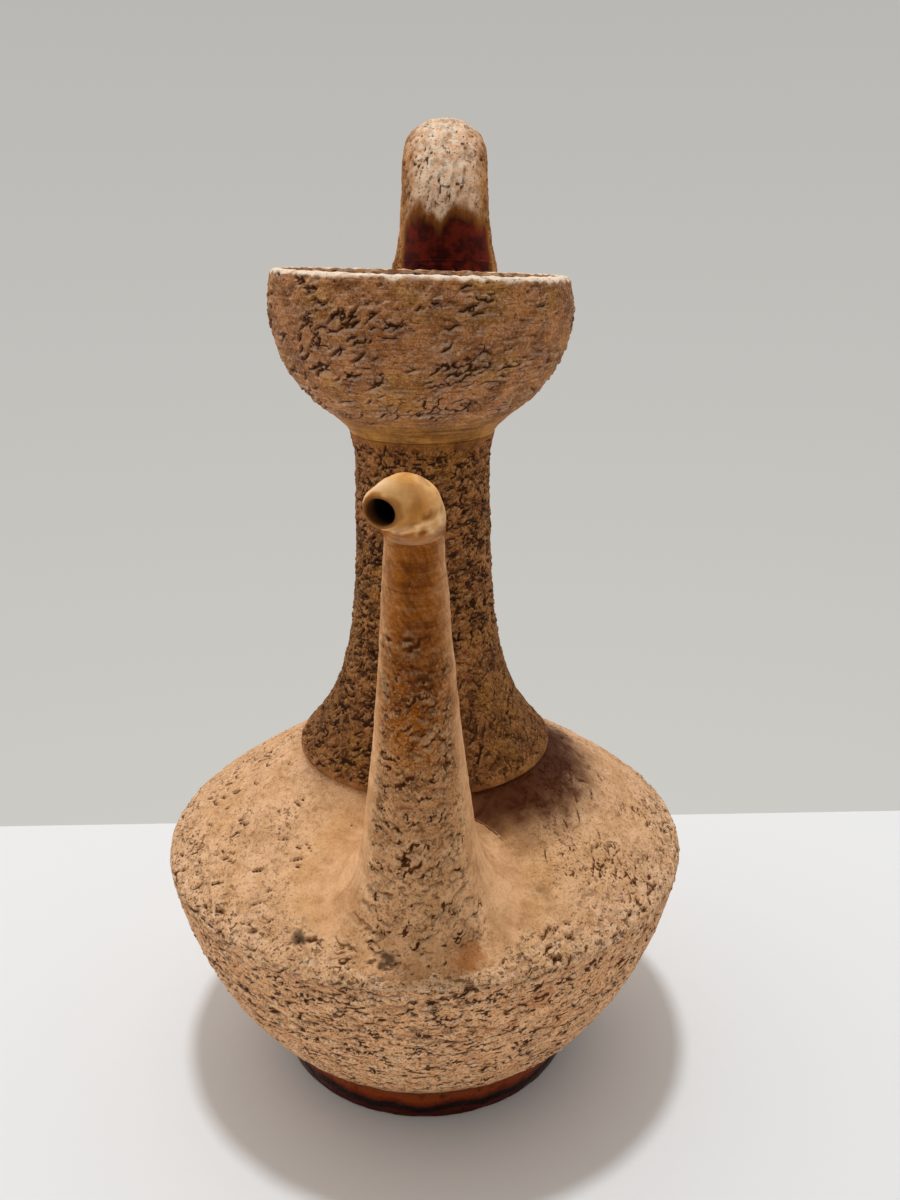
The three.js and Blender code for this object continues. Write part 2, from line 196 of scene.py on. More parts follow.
CURVE_STEPS = 48
CORNER_STEPS = 8


def bowl_outside():
    side = bent_curve((EDGE_R, EDGE_Z), BOWL_BEND, (KEEL_R, KEEL_Z), CURVE_STEPS)
    return np.vstack([[(EDGE_R - UNDERCUT, FOOT_TOP)], side])


def bowl_inside():
    bend = (BOWL_BEND[0] - BODY_WALL, BOWL_BEND[1])
    return bent_curve((HEEL_R, FLOOR_Z), bend, (KEEL_R - BODY_WALL, KEEL_Z), CURVE_STEPS)


def shoulder_outside():
    return bent_curve((KEEL_R, KEEL_Z), SHOULDER_BEND, (SEAT_R, SEAT_Z), CURVE_STEPS)


def shoulder_inside():
    bend = (SHOULDER_BEND[0] - BODY_WALL, SHOULDER_BEND[1] - BODY_WALL / 2)
    return bent_curve((KEEL_R - BODY_WALL, KEEL_Z), bend, (SEAT_BORE_R, SEAT_Z - SEAT_DEPTH), CURVE_STEPS)


def shoulder_height(radius):
    outline = shoulder_outside()[::-1]
    return np.interp(radius, outline[:, 0], outline[:, 1])


def trumpet(mouth_r, waist_r, bottom_z):
    z = np.linspace(bottom_z, CUP_SEAT_Z, CURVE_STEPS + 1)
    return np.stack([waist_r + (mouth_r - waist_r) * np.exp((bottom_z - z) / FLARE_LENGTH), z], -1)


def cup_arc(equator_r, depth, start_r):
    end = -math.asin((RIM_Z - RIM_ROUND - CUP_EQUATOR_Z) / depth)
    angle = np.linspace(math.acos(start_r / equator_r), end, CURVE_STEPS + 1)
    return np.stack([equator_r * np.cos(angle), CUP_EQUATOR_Z - depth * np.sin(angle)], -1)


WAIST_FILLET = 1.4
WAIST_Z = CUP_SEAT_Z + 1
WAIST_BELOW, WAIST_ABOVE = 7.0, 5.0


def waist_fillet(z):
    """Clay smeared into the corner between neck and cup, as a distance outwards at a height."""
    below = ramp(CUP_SEAT_Z - WAIST_BELOW, WAIST_Z, z)
    return WAIST_FILLET * below * ramp(WAIST_Z + WAIST_ABOVE, WAIST_Z, z)


def cup_outside():
    seat = trumpet(LIP_R, NECK_R, SEAT_Z)[-1]
    arc = cup_arc(CUP_R, CUP_DEPTH, seat[0] + THROAT_WIDTH)
    throat = bent_curve(seat, (seat[0], (seat[1] + arc[0][1]) / 2), arc[0], CORNER_STEPS)
    return np.vstack([throat[:-1], arc])


def cup_inside():
    throat = trumpet(SEAT_BORE_R, NECK_BORE_R, SEAT_Z)[-1]
    return np.vstack([[throat], cup_arc(CUP_R - CUP_WALL, CUP_DEPTH - CUP_WALL, throat[0] + THROAT_WIDTH)])


def rim_turn():
    """Rounded top of the rim, from the outer wall over to the inner wall."""
    outer, inner = cup_outside()[-1], cup_inside()[-1]
    over = bent_curve(outer, (outer[0], RIM_Z), (outer[0] - RIM_ROUND, RIM_Z), CORNER_STEPS)
    down = bent_curve((inner[0] + RIM_ROUND, RIM_Z), (inner[0], RIM_Z), inner, CORNER_STEPS)
    return np.vstack([over[1:], down])


# Grids: rows of points along a piece, columns round it

def angles(columns):
    return np.arange(columns) * 2 * math.pi / columns


def turned(outline, columns):
    """Grid of an outline turned about the jug's axis. The first column is at the back."""
    angle = angles(columns)
    r, z = outline[:, :1], outline[:, 1:]
    return np.stack([-r * np.sin(angle), r * np.cos(angle), z + 0 * angle], -1)


def normals_of(grid):
    along = np.gradient(grid, axis=0)
    around = np.roll(grid, -1, axis=1) - np.roll(grid, 1, axis=1)
    normal = np.cross(around, along)
    return normal / np.maximum(np.linalg.norm(normal, axis=-1, keepdims=True), 1e-9)


STEEP_SIDE, SHALLOW_SIDE = 0.65, 1.35
SCALE_GAP = 1.0
LEAST_SLOPE = 0.05


class Relief:
    """Height of a grid's surface in millimetres and a mask of painted shade and dark clay in its gaps, from
    noise and single marks.
    """

    def __init__(self, grid, seed):
        self.grid = grid
        self.random = np.random.default_rng(seed)
        self.height = np.zeros(grid.shape[:2])
        self.dark = np.zeros(grid.shape[:2])
        self.row_step = np.linalg.norm(np.diff(grid, axis=0), axis=-1).mean(axis=1)
        self.along = np.concatenate([[0], np.cumsum(self.row_step)])
        self.column_step = np.linalg.norm(grid - np.roll(grid, 1, axis=1), axis=-1).mean(axis=1)

    def mark(self, row, column, length, width, depth, angle, lip=0.35, bend=0.0):
        """Cuts one torn groove, steep on its upper side, with a raised lip above it, and paints shade and
        dark clay into it.
        """
        rows, columns = self.height.shape
        reach = length / 2 + 2 * width
        up = int(reach / self.row_step[min(row, rows - 2)]) + 1
        side = min(int(reach / self.column_step[row]) + 1, columns // 2 - 1)
        i = np.arange(max(row - up, 0), min(row + up + 1, rows))
        j = np.arange(column - side, column + side + 1)
        y = ((i - row) * self.row_step[min(row, rows - 2)])[:, None]
        x = ((j - column) * self.column_step[row])[None, :]
        u = (x * math.cos(angle) + y * math.sin(angle)) * 2 / length
        v = -x * math.sin(angle) + y * math.cos(angle)
        taper = unit(1 - u * u)
        sway = self.random.uniform(-1, 1, 2) * width * 0.5
        v = v - bend * length * (u * u - 0.4) - sway[0] * np.sin(2.6 * u) - sway[1] * np.sin(6.1 * u)
        half = width * (0.45 + 0.55 * taper) * np.where(v > 0, STEEP_SIDE, SHALLOW_SIDE)
        groove = taper ** 0.6 * np.exp(-((v / half) ** 2))
        shade = taper ** 0.5 * np.exp(-((v / half / 0.75) ** 2))
        raised = taper * np.exp(-(((v - 1.5 * width) / width) ** 2))
        spot = np.ix_(i, j % columns)
        self.height[spot] += depth * (lip * raised - groove)
        self.dark[spot] = np.maximum(self.dark[spot], shade)

    def scatter(self, count, length, width, depth, angle, where=None, **mark):
        """Cuts grooves with sizes drawn from ranges, where a chance from 0 to 1 at a grid point allows it."""
        columns = self.height.shape[1]
        row_share = np.cumsum(self.column_step)
        row_share /= row_share[-1]
        for _ in range(count):
            row = int(np.searchsorted(row_share, self.random.random()))
            column = int(self.random.integers(columns))
            keep = self.random.random()
            sizes = [self.random.uniform(*span) for span in (length, width, depth)]
            tilt = self.random.normal(*angle)
            bend = self.random.normal(0, 0.12)
            if where is None or keep < where[row, column]:
                self.mark(row, column, *sizes, math.radians(tilt), bend=bend, **mark)

    def scales(self, points, keep, pitch, warp, size, seed, depth):
        """Lifts torn scales of clay: each overhangs a gap, painted dark as the shade under it, and sinks
        towards the next one.
        """
        level = points[..., 2] / pitch + warp * fractal(points, size, 3, seed)
        part = level - np.floor(level)
        around = (np.roll(level, -1, axis=1) - np.roll(level, 1, axis=1)) / (2 * self.column_step[:, None])
        steep = np.hypot(np.gradient(level, self.along, axis=0), around)
        gap = (1 - part) / np.maximum(steep, LEAST_SLOPE)
        self.height += depth * keep * (0.5 - part)
        self.dark = np.maximum(self.dark, keep * ramp(SCALE_GAP, 0.3 * SCALE_GAP, gap))

    def slopes(self):
        """How far the relief looks down and how far it looks up, each from 0; the pieces paint shade where it
        looks down and highlights where it looks up.
        """
        slope = np.gradient(self.height, self.along, axis=0)
        return np.maximum(slope, 0), np.maximum(-slope, 0)


def placed(name, data):
    """New object in the scene."""
    made = bpy.data.objects.new(name, data)
    bpy.context.collection.objects.link(made)
    return made


def closed_piece(name, grids, nodes, material, masks=None, loop=True):
    """Mesh object of grids laid end to end: their rows close into a loop, or each end is closed by a fan.
    Masks are held between 0 and 1, and are 0 on the rows that they leave out at the end."""
    grid = np.concatenate(grids)
    rows, columns = grid.shape[:2]
    points = grid.reshape(-1, 3)
    row = np.arange(rows if loop else rows - 1)[:, None]
    column = np.arange(columns)[None, :]
    next_row, next_column = (row + 1) % rows, (column + 1) % columns
    corners = [row * columns + column, row * columns + next_column,
               next_row * columns + next_column, next_row * columns + column]
    quads = np.stack([np.broadcast_to(c, (row.size, columns)) for c in corners], -1).reshape(-1, 4)
    u = np.stack([column, column + 1, column + 1, column], -1) / columns
    v = np.stack([row, row, row + 1, row + 1], -1) / rows
    quad_uv = np.stack(np.broadcast_arrays(u, v), -1).reshape(-1, 2)
    loops, uv, sizes = [quads.ravel()], [quad_uv], [np.full(len(quads), 4)]
    if not loop:
        here = np.arange(columns)
        beside = (here + 1) % columns
        for at, first, second in ((0, here, beside), (rows - 1, beside, here)):
            middle = np.full(columns, len(points))
            points = np.vstack([points, grid[at].mean(axis=0)])
            loops.append(np.stack([middle, at * columns + second, at * columns + first], -1).ravel())
            uv.append(np.tile([[0.5, at / rows]], (3 * columns, 1)))
            sizes.append(np.full(columns, 3))
    loops, uv, sizes = np.concatenate(loops), np.concatenate(uv), np.concatenate(sizes)
    mesh = bpy.data.meshes.new(name)
    mesh.vertices.add(len(points))
    mesh.vertices.foreach_set("co", (points * MM).astype(np.float32).ravel())
    mesh.loops.add(len(loops))
    mesh.loops.foreach_set("vertex_index", loops.astype(np.int32))
    mesh.polygons.add(len(sizes))
    mesh.polygons.foreach_set("loop_start", (np.cumsum(sizes) - sizes).astype(np.int32))
    mesh.polygons.foreach_set("use_smooth", np.ones(len(sizes), bool))
    mesh.uv_layers.new(name="OFBake").data.foreach_set("uv", uv.astype(np.float32).ravel())
    for mask, values in (masks or {}).items():
        flat = np.zeros(len(points), np.float32)
        flat[:values.size] = unit(values).ravel()
        mesh.attributes.new(mask, "FLOAT", "POINT").data.foreach_set("value", flat)
    mesh.update(calc_edges=True)
    mesh.validate()
    mesh.materials.append(material)
    piece = placed(name, mesh)
    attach(piece, "root")
    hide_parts(*nodes)


# Materials

def new_material(name):
    material = bpy.data.materials.new(name)
    material.use_nodes = True
    tree = material.node_tree
    return material, tree, tree.nodes["Principled BSDF"]


def feed(tree, socket, value):
    """Links a socket to another one, or sets its value."""
    if isinstance(value, bpy.types.NodeSocket):
        tree.links.new(value, socket)
    else:
        socket.default_value = value


def add(tree, kind, inputs=None, **settings):
    """New node with its settings, and with each named input set to a value or linked to a socket."""
    made = tree.nodes.new(kind)
    for key, value in settings.items():
        setattr(made, key, value)
    for name, value in (inputs or {}).items():
        feed(tree, made.inputs[name], value)
    return made


def linear(code):
    """Linear colour with alpha, from the usual six hexadecimal digits."""
    parts = [int(code[i:i + 2], 16) / 255 for i in (0, 2, 4)]
    return [p / 12.92 if p <= 0.04045 else ((p + 0.055) / 1.055) ** 2.4 for p in parts] + [1.0]


COLOUR_A, COLOUR_B, COLOUR_OUT = 6, 7, 2


def mix(tree, share, first, second):
    """Colour between two colours or colour sockets."""
    inputs = {0: share, COLOUR_A: first, COLOUR_B: second}
    return add(tree, "ShaderNodeMix", inputs, data_type="RGBA").outputs[COLOUR_OUT]


def span(tree, value, low, high, bottom=0.0, top=1.0, kind="LINEAR"):
    """Value taken evenly from bottom at low to top at high."""
    inputs = {"Value": value, "From Min": low, "From Max": high, "To Min": bottom, "To Max": top}
    return add(tree, "ShaderNodeMapRange", inputs, interpolation_type=kind).outputs["Result"]


def band(tree, value, low, high, top=1.0):
    """Value taken smoothly from 0 at low to top at high."""
    return span(tree, value, low, high, 0.0, top, "SMOOTHSTEP")


def place(tree):
    return add(tree, "ShaderNodeTexCoord").outputs["Object"]


def grain(tree, size, detail=4.0, rough=0.6, flat=1.0):
    """Noise from 0 to 1 with features of a size in millimetres, lower than wide where flat is over 1."""
    inputs = {"Vector": place(tree), "Scale": (1.0, 1.0, 1 / flat)}
    where = add(tree, "ShaderNodeMapping", inputs, vector_type="TEXTURE").outputs["Vector"]
    inputs = {"Vector": where, "Scale": 1 / (size * MM), "Detail": detail, "Roughness": rough}
    return add(tree, "ShaderNodeTexNoise", inputs).outputs["Fac"]


def calculate(tree, operation, *values):
    return add(tree, "ShaderNodeMath", dict(enumerate(values)), operation=operation).outputs[0]


def times(tree, first, second):
    return calculate(tree, "MULTIPLY", first, second)


def attribute(tree, name):
    return add(tree, "ShaderNodeAttribute", attribute_name=name).outputs["Fac"]


def set_look(tree, shader, colour, rough, sheen, height, relief):
    """Feeds a material's shader, with a bump as deep as its relief in millimetres."""
    shader.inputs["Specular IOR Level"].default_value = sheen
    bump = add(tree, "ShaderNodeBump", {"Height": height, "Distance": relief * MM}).outputs["Normal"]
    for name, socket in (("Base Color", colour), ("Roughness", rough), ("Normal", bump)):
        tree.links.new(socket, shader.inputs[name])


SHADE = "58280c"
RUST = "b2641f"
STAIN = "17100c"
AMBER = "955a22"


CLOUD_SIZE = 7.0
SAND_SIZE = 0.6
RING_SIZE, RING_FLAT = 8.0, 14.0
PIT_EDGE, PIT_DEPTH = 0.05, 1.2
BARE_ROUGHNESS, COAT_ROUGHNESS = 0.9, 0.25


def clay(name, tones, crack, pale_and_highlight, relief=0.4, sand=0.5, pits=(), coat=None, sheen=0.15):
    """Fired clay. The tone mask goes between two pairs of a light and a deep colour. Sand, throwing rings and
    pits, each with a size, flatness, level and strength, are finer than the mesh; the pits are darkened as
    painted shade. The other masks add what is worked into the mesh, with painted shade and painted
    highlights, and a coat of two colours adds glaze."""
    material, tree, shader = new_material(name)
    crack, pale_and_highlight = linear(crack), linear(pale_and_highlight)
    clouds = band(tree, grain(tree, CLOUD_SIZE, 5, 0.65), 0.36, 0.64)
    first, second = (mix(tree, clouds, linear(light), linear(deep)) for light, deep in tones)
    fine = grain(tree, SAND_SIZE, 3, 0.7)
    loose = span(tree, attribute(tree, "pits"), 0.0, 1.0, 0.3 * sand, sand)
    rings = calculate(tree, "SUBTRACT", grain(tree, RING_SIZE, 4, 0.65, RING_FLAT), 0.5)
    rings = calculate(tree, "MULTIPLY_ADD", rings, attribute(tree, "rings"), 0.5)
    layers = [(attribute(tree, "tone"), second),
              (attribute(tree, "pale_and_highlight"), pale_and_highlight),
              (times(tree, band(tree, fine, 0.50, 0.34), loose), crack),
              (times(tree, band(tree, fine, 0.52, 0.68, 0.7), loose), pale_and_highlight),
              (band(tree, rings, 0.49, 0.38, 0.5), crack),
              (band(tree, rings, 0.52, 0.64, 0.18), pale_and_highlight)]
    height = calculate(tree, "ADD", times(tree, fine, 0.5), rings)
    # Pits darkened with the crack colour: painted shade in them
    for size, flat, level, strength in pits:
        hole = band(tree, grain(tree, size, 3, 0.6, flat), level, level - PIT_EDGE)
        hole = times(tree, hole, attribute(tree, "pits"))
        layers.append((times(tree, hole, strength), crack))
        height = calculate(tree, "MULTIPLY_ADD", hole, -PIT_DEPTH, height)
    # The dark mask, made ragged by sand: painted shade and dark clay in gaps and grooves
    ragged = calculate(tree, "MULTIPLY_ADD", fine, 0.6, attribute(tree, "dark"))
    layers += [(attribute(tree, "rust"), linear(RUST)),
               (attribute(tree, "shade"), linear(SHADE)),
               (band(tree, ragged, 0.60, 0.95, 0.95), crack),
               (attribute(tree, "stain"), linear(STAIN))]
    rough = span(tree, fine, 0.3, 0.7, BARE_ROUGHNESS, BARE_ROUGHNESS - 1.2 * sheen)
    if coat:
        thick = attribute(tree, "glaze")
        deep = mix(tree, band(tree, grain(tree, 5, 4, 0.6), 0.42, 0.62), *(linear(code) for code in coat))
        layers += [(band(tree, thick, 0.02, 0.35), linear(AMBER)), (band(tree, thick, 0.25, 0.8), deep)]
        rough = span(tree, thick, 0.2, 1.0, rough, COAT_ROUGHNESS)
        height = times(tree, height, span(tree, thick, 0.2, 0.7, 1.0, 0.12))
    colour = first
    for share, over in layers:
        colour = mix(tree, share, colour, over)
    set_look(tree, shader, colour, rough, sheen, height, relief)
    return material


GLAZE_DARK = "240904"
GLAZE_SHEEN = 0.12
GLAZE_RELIEF = 0.3


def glaze(name, stops, sway):
    """Glossy glaze: its colours follow the height in millimetres, along lines that sway."""
    material, tree, shader = new_material(name)
    height = add(tree, "ShaderNodeSeparateXYZ", {"Vector": place(tree)}).outputs["Z"]
    wave = span(tree, grain(tree, 14, 3, 0.5, 0.3), 0.3, 0.7, -sway * MM, sway * MM)
    low, high = stops[0][0], stops[-1][0]
    level = span(tree, calculate(tree, "ADD", height, wave), low * MM, high * MM)
    blend = add(tree, "ShaderNodeValToRGB", {"Fac": level})
    elements = blend.color_ramp.elements
    while len(elements) < len(stops):
        elements.new(0.5)
    for element, (at, code) in zip(elements, stops):
        element.position = (at - low) / (high - low)
        element.color = linear(code)
    clouds = band(tree, grain(tree, 3, 5, 0.65), 0.48, 0.7, 0.6)
    colour = mix(tree, clouds, blend.outputs["Color"], linear(GLAZE_DARK))
    rough = span(tree, grain(tree, 3), 0.3, 0.7, 0.18, 0.42)
    set_look(tree, shader, colour, rough, GLAZE_SHEEN, grain(tree, 4, 3), GLAZE_RELIEF)
    return material


# Dark brown painted into cracks, gaps and pits as their shade and dark clay, also used for dark sand grains
# and throwing lines
CRACK = "3a1c0a"
BRUSHED = ("f0bc86", "d8a26a")
SPOUT_OCHRE = ("a85e0c", "844606")
cup_clay = clay("cup_clay", (("ba7c46", "8a5428"), ("b88038", "8e5c24")), CRACK, "ffe8d0", sand=0.35,
                pits=[(3.4, 2.2, 0.36, 0.6), (1.2, 1.8, 0.38, 0.5)])
neck_clay = clay("neck_clay", (("aa6e3a", "7c4a20"), ("a46c2e", "764818")), CRACK, "dcac76", sand=0.6,
                 pits=[(3.2, 1.5, 0.42, 0.7), (1.2, 1.3, 0.40, 0.5)])
bowl_clay = clay("bowl_clay", (("fabe88", "e0a06a"), ("d2986a", "b87e50")), "4a220a", "ffdcb4",
                 relief=0.6, sand=0.65, pits=[(3.0, 2.4, 0.40, 0.9), (1.3, 1.8, 0.38, 0.8)])
shoulder_clay = clay("shoulder_clay", (("f2c092", "d8a676"), BRUSHED), "64340f", "fcdebc",
                     relief=0.7, sand=0.6, pits=[(2.4, 2.2, 0.40, 0.7), (1.1, 1.6, 0.39, 0.6)])
spout_clay = clay("spout_clay", (SPOUT_OCHRE, ("f0bc8c", "d09c6c")), "54280c", "f0cc9e",
                  relief=0.5, sand=0.65, pits=[(2.6, 1.2, 0.40, 0.6), (1.1, 1.0, 0.38, 0.6)], sheen=0.06)
beak_clay = clay("beak_clay", (("f4b868", "d08e46"), SPOUT_OCHRE), "5a2c10", "ffe0b8",
                 relief=0.2, sand=0.12, sheen=0.1)
handle_clay = clay("handle_clay", (("ffdab6", "f0be96"), ("c88c54", "9c6832")), "5e3416", "ffead0",
                   relief=0.6, sand=0.35, pits=[(1.8, 1.0, 0.38, 0.5), (0.9, 1.0, 0.36, 0.4)],
                   coat=("400802", "741e06"), sheen=0.12)
foot_clay = clay("foot_clay", (("b88d68", "9d7450"), BRUSHED), CRACK, "e8cfb4")
liner_glaze = glaze("liner_glaze", [(0, "4a1206"), (240, "5a1a0a")], 3.0)
foot_glaze = glaze("foot_glaze", [(0, "3e0c04"), (2.2, "4e1204"), (3.0, "160401"), (4.6, "160401"),
                                  (5.4, "5c1a04"), (7.5, "8e3a0c"), (10, "7e3c12")], 1.3)


# Pieces
# Marks are a count, ranges of length, width and depth in millimetres, and a slant with its spread in degrees
# Scales are a pitch, a warp, the size of its noise, a seed and a depth
# Hollows are a size, the levels of noise where they start and are full, and a seed
# Spots are a centre, a reach, a seed and a strength
# Fades are the places in millimetres where a mask is 0 and where it is 1

def body_noise(points):
    """Unevenness of the thrown body, shared by the pieces that meet on it."""
    return 0.22 * fractal(points, (9, 9, 5), 3, 1) + 0.10 * fractal(points, (2.4, 2.4, 1.5), 2, 5)


def hollows(points, size, low, high, seed):
    """Share of each point that lies in a pit, from 0 to 1."""
    return ramp(low, high, fractal(points, size, 3, seed))


def spots(points, *marks):
    """Ragged spots, from 0 to 1."""
    total = 0
    for centre, reach, seed, strength in marks:
        away = np.linalg.norm(points - np.array(centre), axis=-1) / reach
        total = total + strength * ramp(1.0, 0.35, away + 0.55 * fractal(points, 2.2, 2, seed))
    return unit(total)


def moved_out(relief):
    return relief.grid + normals_of(relief.grid) * relief.height[..., None]


def lowered(points, drop):
    moved = points.copy()
    moved[..., 2] -= drop
    return moved


def softened(outline, corner, reach):
    """The outline with its corner at a row rounded off over a reach in rows."""
    offsets = np.arange(-reach, reach + 1)
    weights = np.exp(-(offsets * 2 / reach) ** 2)
    weights /= weights.sum()
    soft = outline.copy()
    for row in range(corner - 2 * reach, corner + 2 * reach + 1):
        soft[row] = weights @ outline[row + offsets]
    return soft


def from_spout(points):
    """Direction of points from the spout's axis, and their distance from it."""
    away = points - SPOUT_ROOT
    away = away - (away @ SPOUT_UP)[..., None] * SPOUT_UP
    distance = np.linalg.norm(away, axis=-1)
    return away / np.maximum(distance, 1e-6)[..., None], distance


def strokes(direction, along):
    """Brush strokes that run out from the spout, from about -1 to 1, for a distance along them."""
    wheel = direction @ np.stack([ACROSS, SPOUT_BACK], -1) * SPOUT_ROOT_R
    return fractal(np.concatenate([wheel, along[..., None]], -1), (0.9, 0.9, 11), 3, 45)


# Direction towards the painted shadow that the cup and neck cast on the shoulder
NECK_SHADOW_SIDE = np.array([0.87, -0.50])
BODY_COLUMNS, BODY_SPACING, INNER_SPACING = 1000, 0.6, 8.0
KEEL_SOFTENING = 6
AXIS_R = 0.01
UNDER_STEP = 0.5
SKIN = 0.25
BOWL_MARKS = 2600, (1.5, 5.5), (0.35, 0.8), (0.4, 0.9), (0, 10)
SHOULDER_MARKS = 2200, (1.6, 6.0), (0.25, 0.45), (0.3, 0.6), (22, 25)
KEEL_MARKS = 800, (1.8, 5.5), (0.35, 0.7), (0.4, 0.9), (5, 25)
BOWL_SCALES = 3.2, 1.1, (6, 6, 3), 93, 0.5
SHOULDER_SCALES = 3.6, 1.2, 4, 94, 0.3
BODY_HOLLOWS = (2.8, 2.8, 1.4), 0.15, 0.6, 21
BOWL_FLAKES = (4.2, 4.2, 1.5), 0.1, 0.45, 102
BODY_STAINS = (((-31, -65, 77.5), 2.8, 81, 0.8), ((27, -36, 98.5), 2.0, 82, 1.0),
               ((32, -55, 84.5), 3, 83, 0.25))
BODY_RUST = ((30.6, -69.8, 62), 5, 84, 0.5), ((35.5, -62.7, 48), 4, 85, 0.4)
BOWL_FADE = 1, -5
KEEL_FADES = (-10, -2), (11, 2)
BRUSH_FADE, BRUSH_RISE_FADE = (46, 24), (2, 11)
# Radii where that painted shadow starts and where it is full
NECK_SHADOW_FADE = LIP_R + 20, LIP_R + 4
FLAKE_FADE, MARK_FADE = (EDGE_Z + 2, EDGE_Z + 6), (EDGE_Z + 1, EDGE_Z + 3)
EDGE_FADE = EDGE_Z + 4, EDGE_Z


def make_body():
    """Bowl and shoulder, cut at the keel from one surface."""
    outline = evenly(np.vstack([bowl_outside(), shoulder_outside()[1:]]), BODY_SPACING)
    outline = softened(outline, int(np.argmax(outline[:, 0])), KEEL_SOFTENING)
    keel = int(np.argmax(outline[:, 0]))
    outer = turned(outline, BODY_COLUMNS)
    relief = Relief(outer, seed=11)
    x, y, z = np.moveaxis(outer, -1, 0)
    over = z - KEEL_Z
    on_bowl = ramp(*BOWL_FADE, over)
    at_keel = ramp(*KEEL_FADES[0], over) * ramp(*KEEL_FADES[1], over)
    direction, distance = from_spout(outer)
    brushed = ramp(*BRUSH_FADE, distance + 5 * noise(outer, 14, 46)) * ramp(*BRUSH_RISE_FADE, over)
    rough = 1 - 0.85 * brushed
    worn = unit(on_bowl + at_keel)
    patchy = ramp(-0.3, 0.5, noise(outer, (16, 16, 12), 49))
    hollow = hollows(outer, *BODY_HOLLOWS) * (0.25 + 0.75 * worn) * rough
    flaked = ramp(-0.35, 0.25, noise(outer, (22, 22, 10), 101)) * on_bowl * rough
    flake = hollows(outer, *BOWL_FLAKES) * flaked * ramp(*FLAKE_FADE, z)
    relief.height += body_noise(outer) * rough - 0.3 * hollow - 0.25 * flake - SKIN
    brush = strokes(direction, distance)
    relief.height += 0.05 * brushed * brush
    clear = ramp(*MARK_FADE, z)
    relief.scatter(*BOWL_MARKS, where=on_bowl * clear)
    relief.scatter(*SHOULDER_MARKS, where=(1 - on_bowl) * (1 - 0.8 * brushed) * (0.3 + 0.4 * patchy))
    relief.scatter(*KEEL_MARKS, where=at_keel * (1 - 0.7 * brushed))
    torn = ramp(0.0, 0.4, fractal(outer, (7, 7, 4), 2, 92))
    relief.scales(outer, on_bowl * clear * torn, *BOWL_SCALES)
    radius = np.hypot(x, y)
    slanted = lowered(outer, 0.3 * radius + 0.25 * x)
    relief.scales(slanted, (1 - on_bowl) * rough * torn * patchy, *SHOULDER_SCALES)
    looks_down, looks_up = relief.slopes()
    # Painted shadow that the cup and neck cast on the shoulder, to the right of the neck's lip
    beside = (outer[..., :2] @ NECK_SHADOW_SIDE) / radius + 0.1 * noise(outer, 9, 88)
    near_lip = ramp(*NECK_SHADOW_FADE, radius + 3 * fractal(outer, 6, 3, 86))
    painted_neck_shadow = 0.95 * near_lip * ramp(0.3, 0.85, beside)
    # Darker patches along the keel
    keel_darkening = 0.03 * at_keel * ramp(-0.4, 0.5, fractal(outer, (11, 11, 4), 3, 50)) * rough
    edge = ramp(*EDGE_FADE, z + noise(outer, (5, 5, 2), 99))
    specks = ramp(0.1, 0.6, fractal(outer, (3.5, 3.5, 1.3), 2, 47))
    # Painted shade in hollows and flakes and where the relief looks down, painted highlights where it looks
    # up, and darker towards the bowl's lower edge
    masks = {
        "dark": relief.dark,
        "shade": 0.25 * hollow + 0.5 * flake + 0.1 * brushed * ramp(0.1, 0.7, -brush) + painted_neck_shadow
                 + keel_darkening + 0.45 * edge + np.minimum(1.1 * looks_down, 0.55),
        "pale_and_highlight": 0.35 * specks * worn * rough + np.minimum(0.9 * looks_up, 0.5)
                + 0.15 * brushed * ramp(0.1, 0.7, brush),
        "tone": 0.95 * brushed + 0.4 * ramp(0, 0.5, noise(outer, (18, 18, 12), 48)) * (1 - on_bowl),
        "pits": unit(worn + (0.25 + 0.5 * patchy) * (1 - worn)) * rough,
        "rust": spots(outer, *BODY_RUST),
        "stain": spots(outer, *BODY_STAINS),
    }
    moved = moved_out(relief)
    under = turned(np.array([[AXIS_R, FOOT_TOP], [EDGE_R - UNDERCUT - UNDER_STEP, FOOT_TOP]]), BODY_COLUMNS)
    inner = turned(np.vstack([evenly(bowl_inside()[::-1], INNER_SPACING), [(AXIS_R, FLOOR_Z)]]), BODY_COLUMNS)
    bowl_masks = {name: np.pad(mask[:keel + 1], ((len(under), 0), (0, 0))) for name, mask in masks.items()}
    closed_piece("bowl", [under, moved[:keel + 1], inner], ["body_bowl"], bowl_clay, bowl_masks,
                 loop=False)
    wall = np.vstack([[(SEAT_BORE_R, SEAT_Z)], evenly(shoulder_inside()[::-1], INNER_SPACING)])
    inner = turned(wall, BODY_COLUMNS)
    closed_piece("shoulder", [moved[keel:], inner], ["body_shoulder"], shoulder_clay,
                 {name: mask[keel:] for name, mask in masks.items()})


NECK_COLUMNS, NECK_SPACING = 440, 0.48
LIP_STEPS = 6
LIP_BULGE, LIP_DRAFT = 0.4, 0.3
NECK_MARKS = 1200, (1.2, 4.2), (0.3, 0.6), (0.3, 0.7), (8, 25)
NECK_SLASHES = 700, (2.5, 8), (0.3, 0.6), (0.3, 0.7), (52, 12)
NECK_SCALES = 3.0, 1.2, (5, 5, 3), 96, 0.5
NECK_HOLLOWS = (2.2, 2.2, 1.6), 0.12, 0.6, 23
NECK_FADES = (SEAT_Z, SEAT_Z + 4), (CUP_SEAT_Z, CUP_SEAT_Z - 3)
SLASH_FADE, SLASH_SIDE_FADE = (SEAT_Z + 45, SEAT_Z + 10), (0, 12)


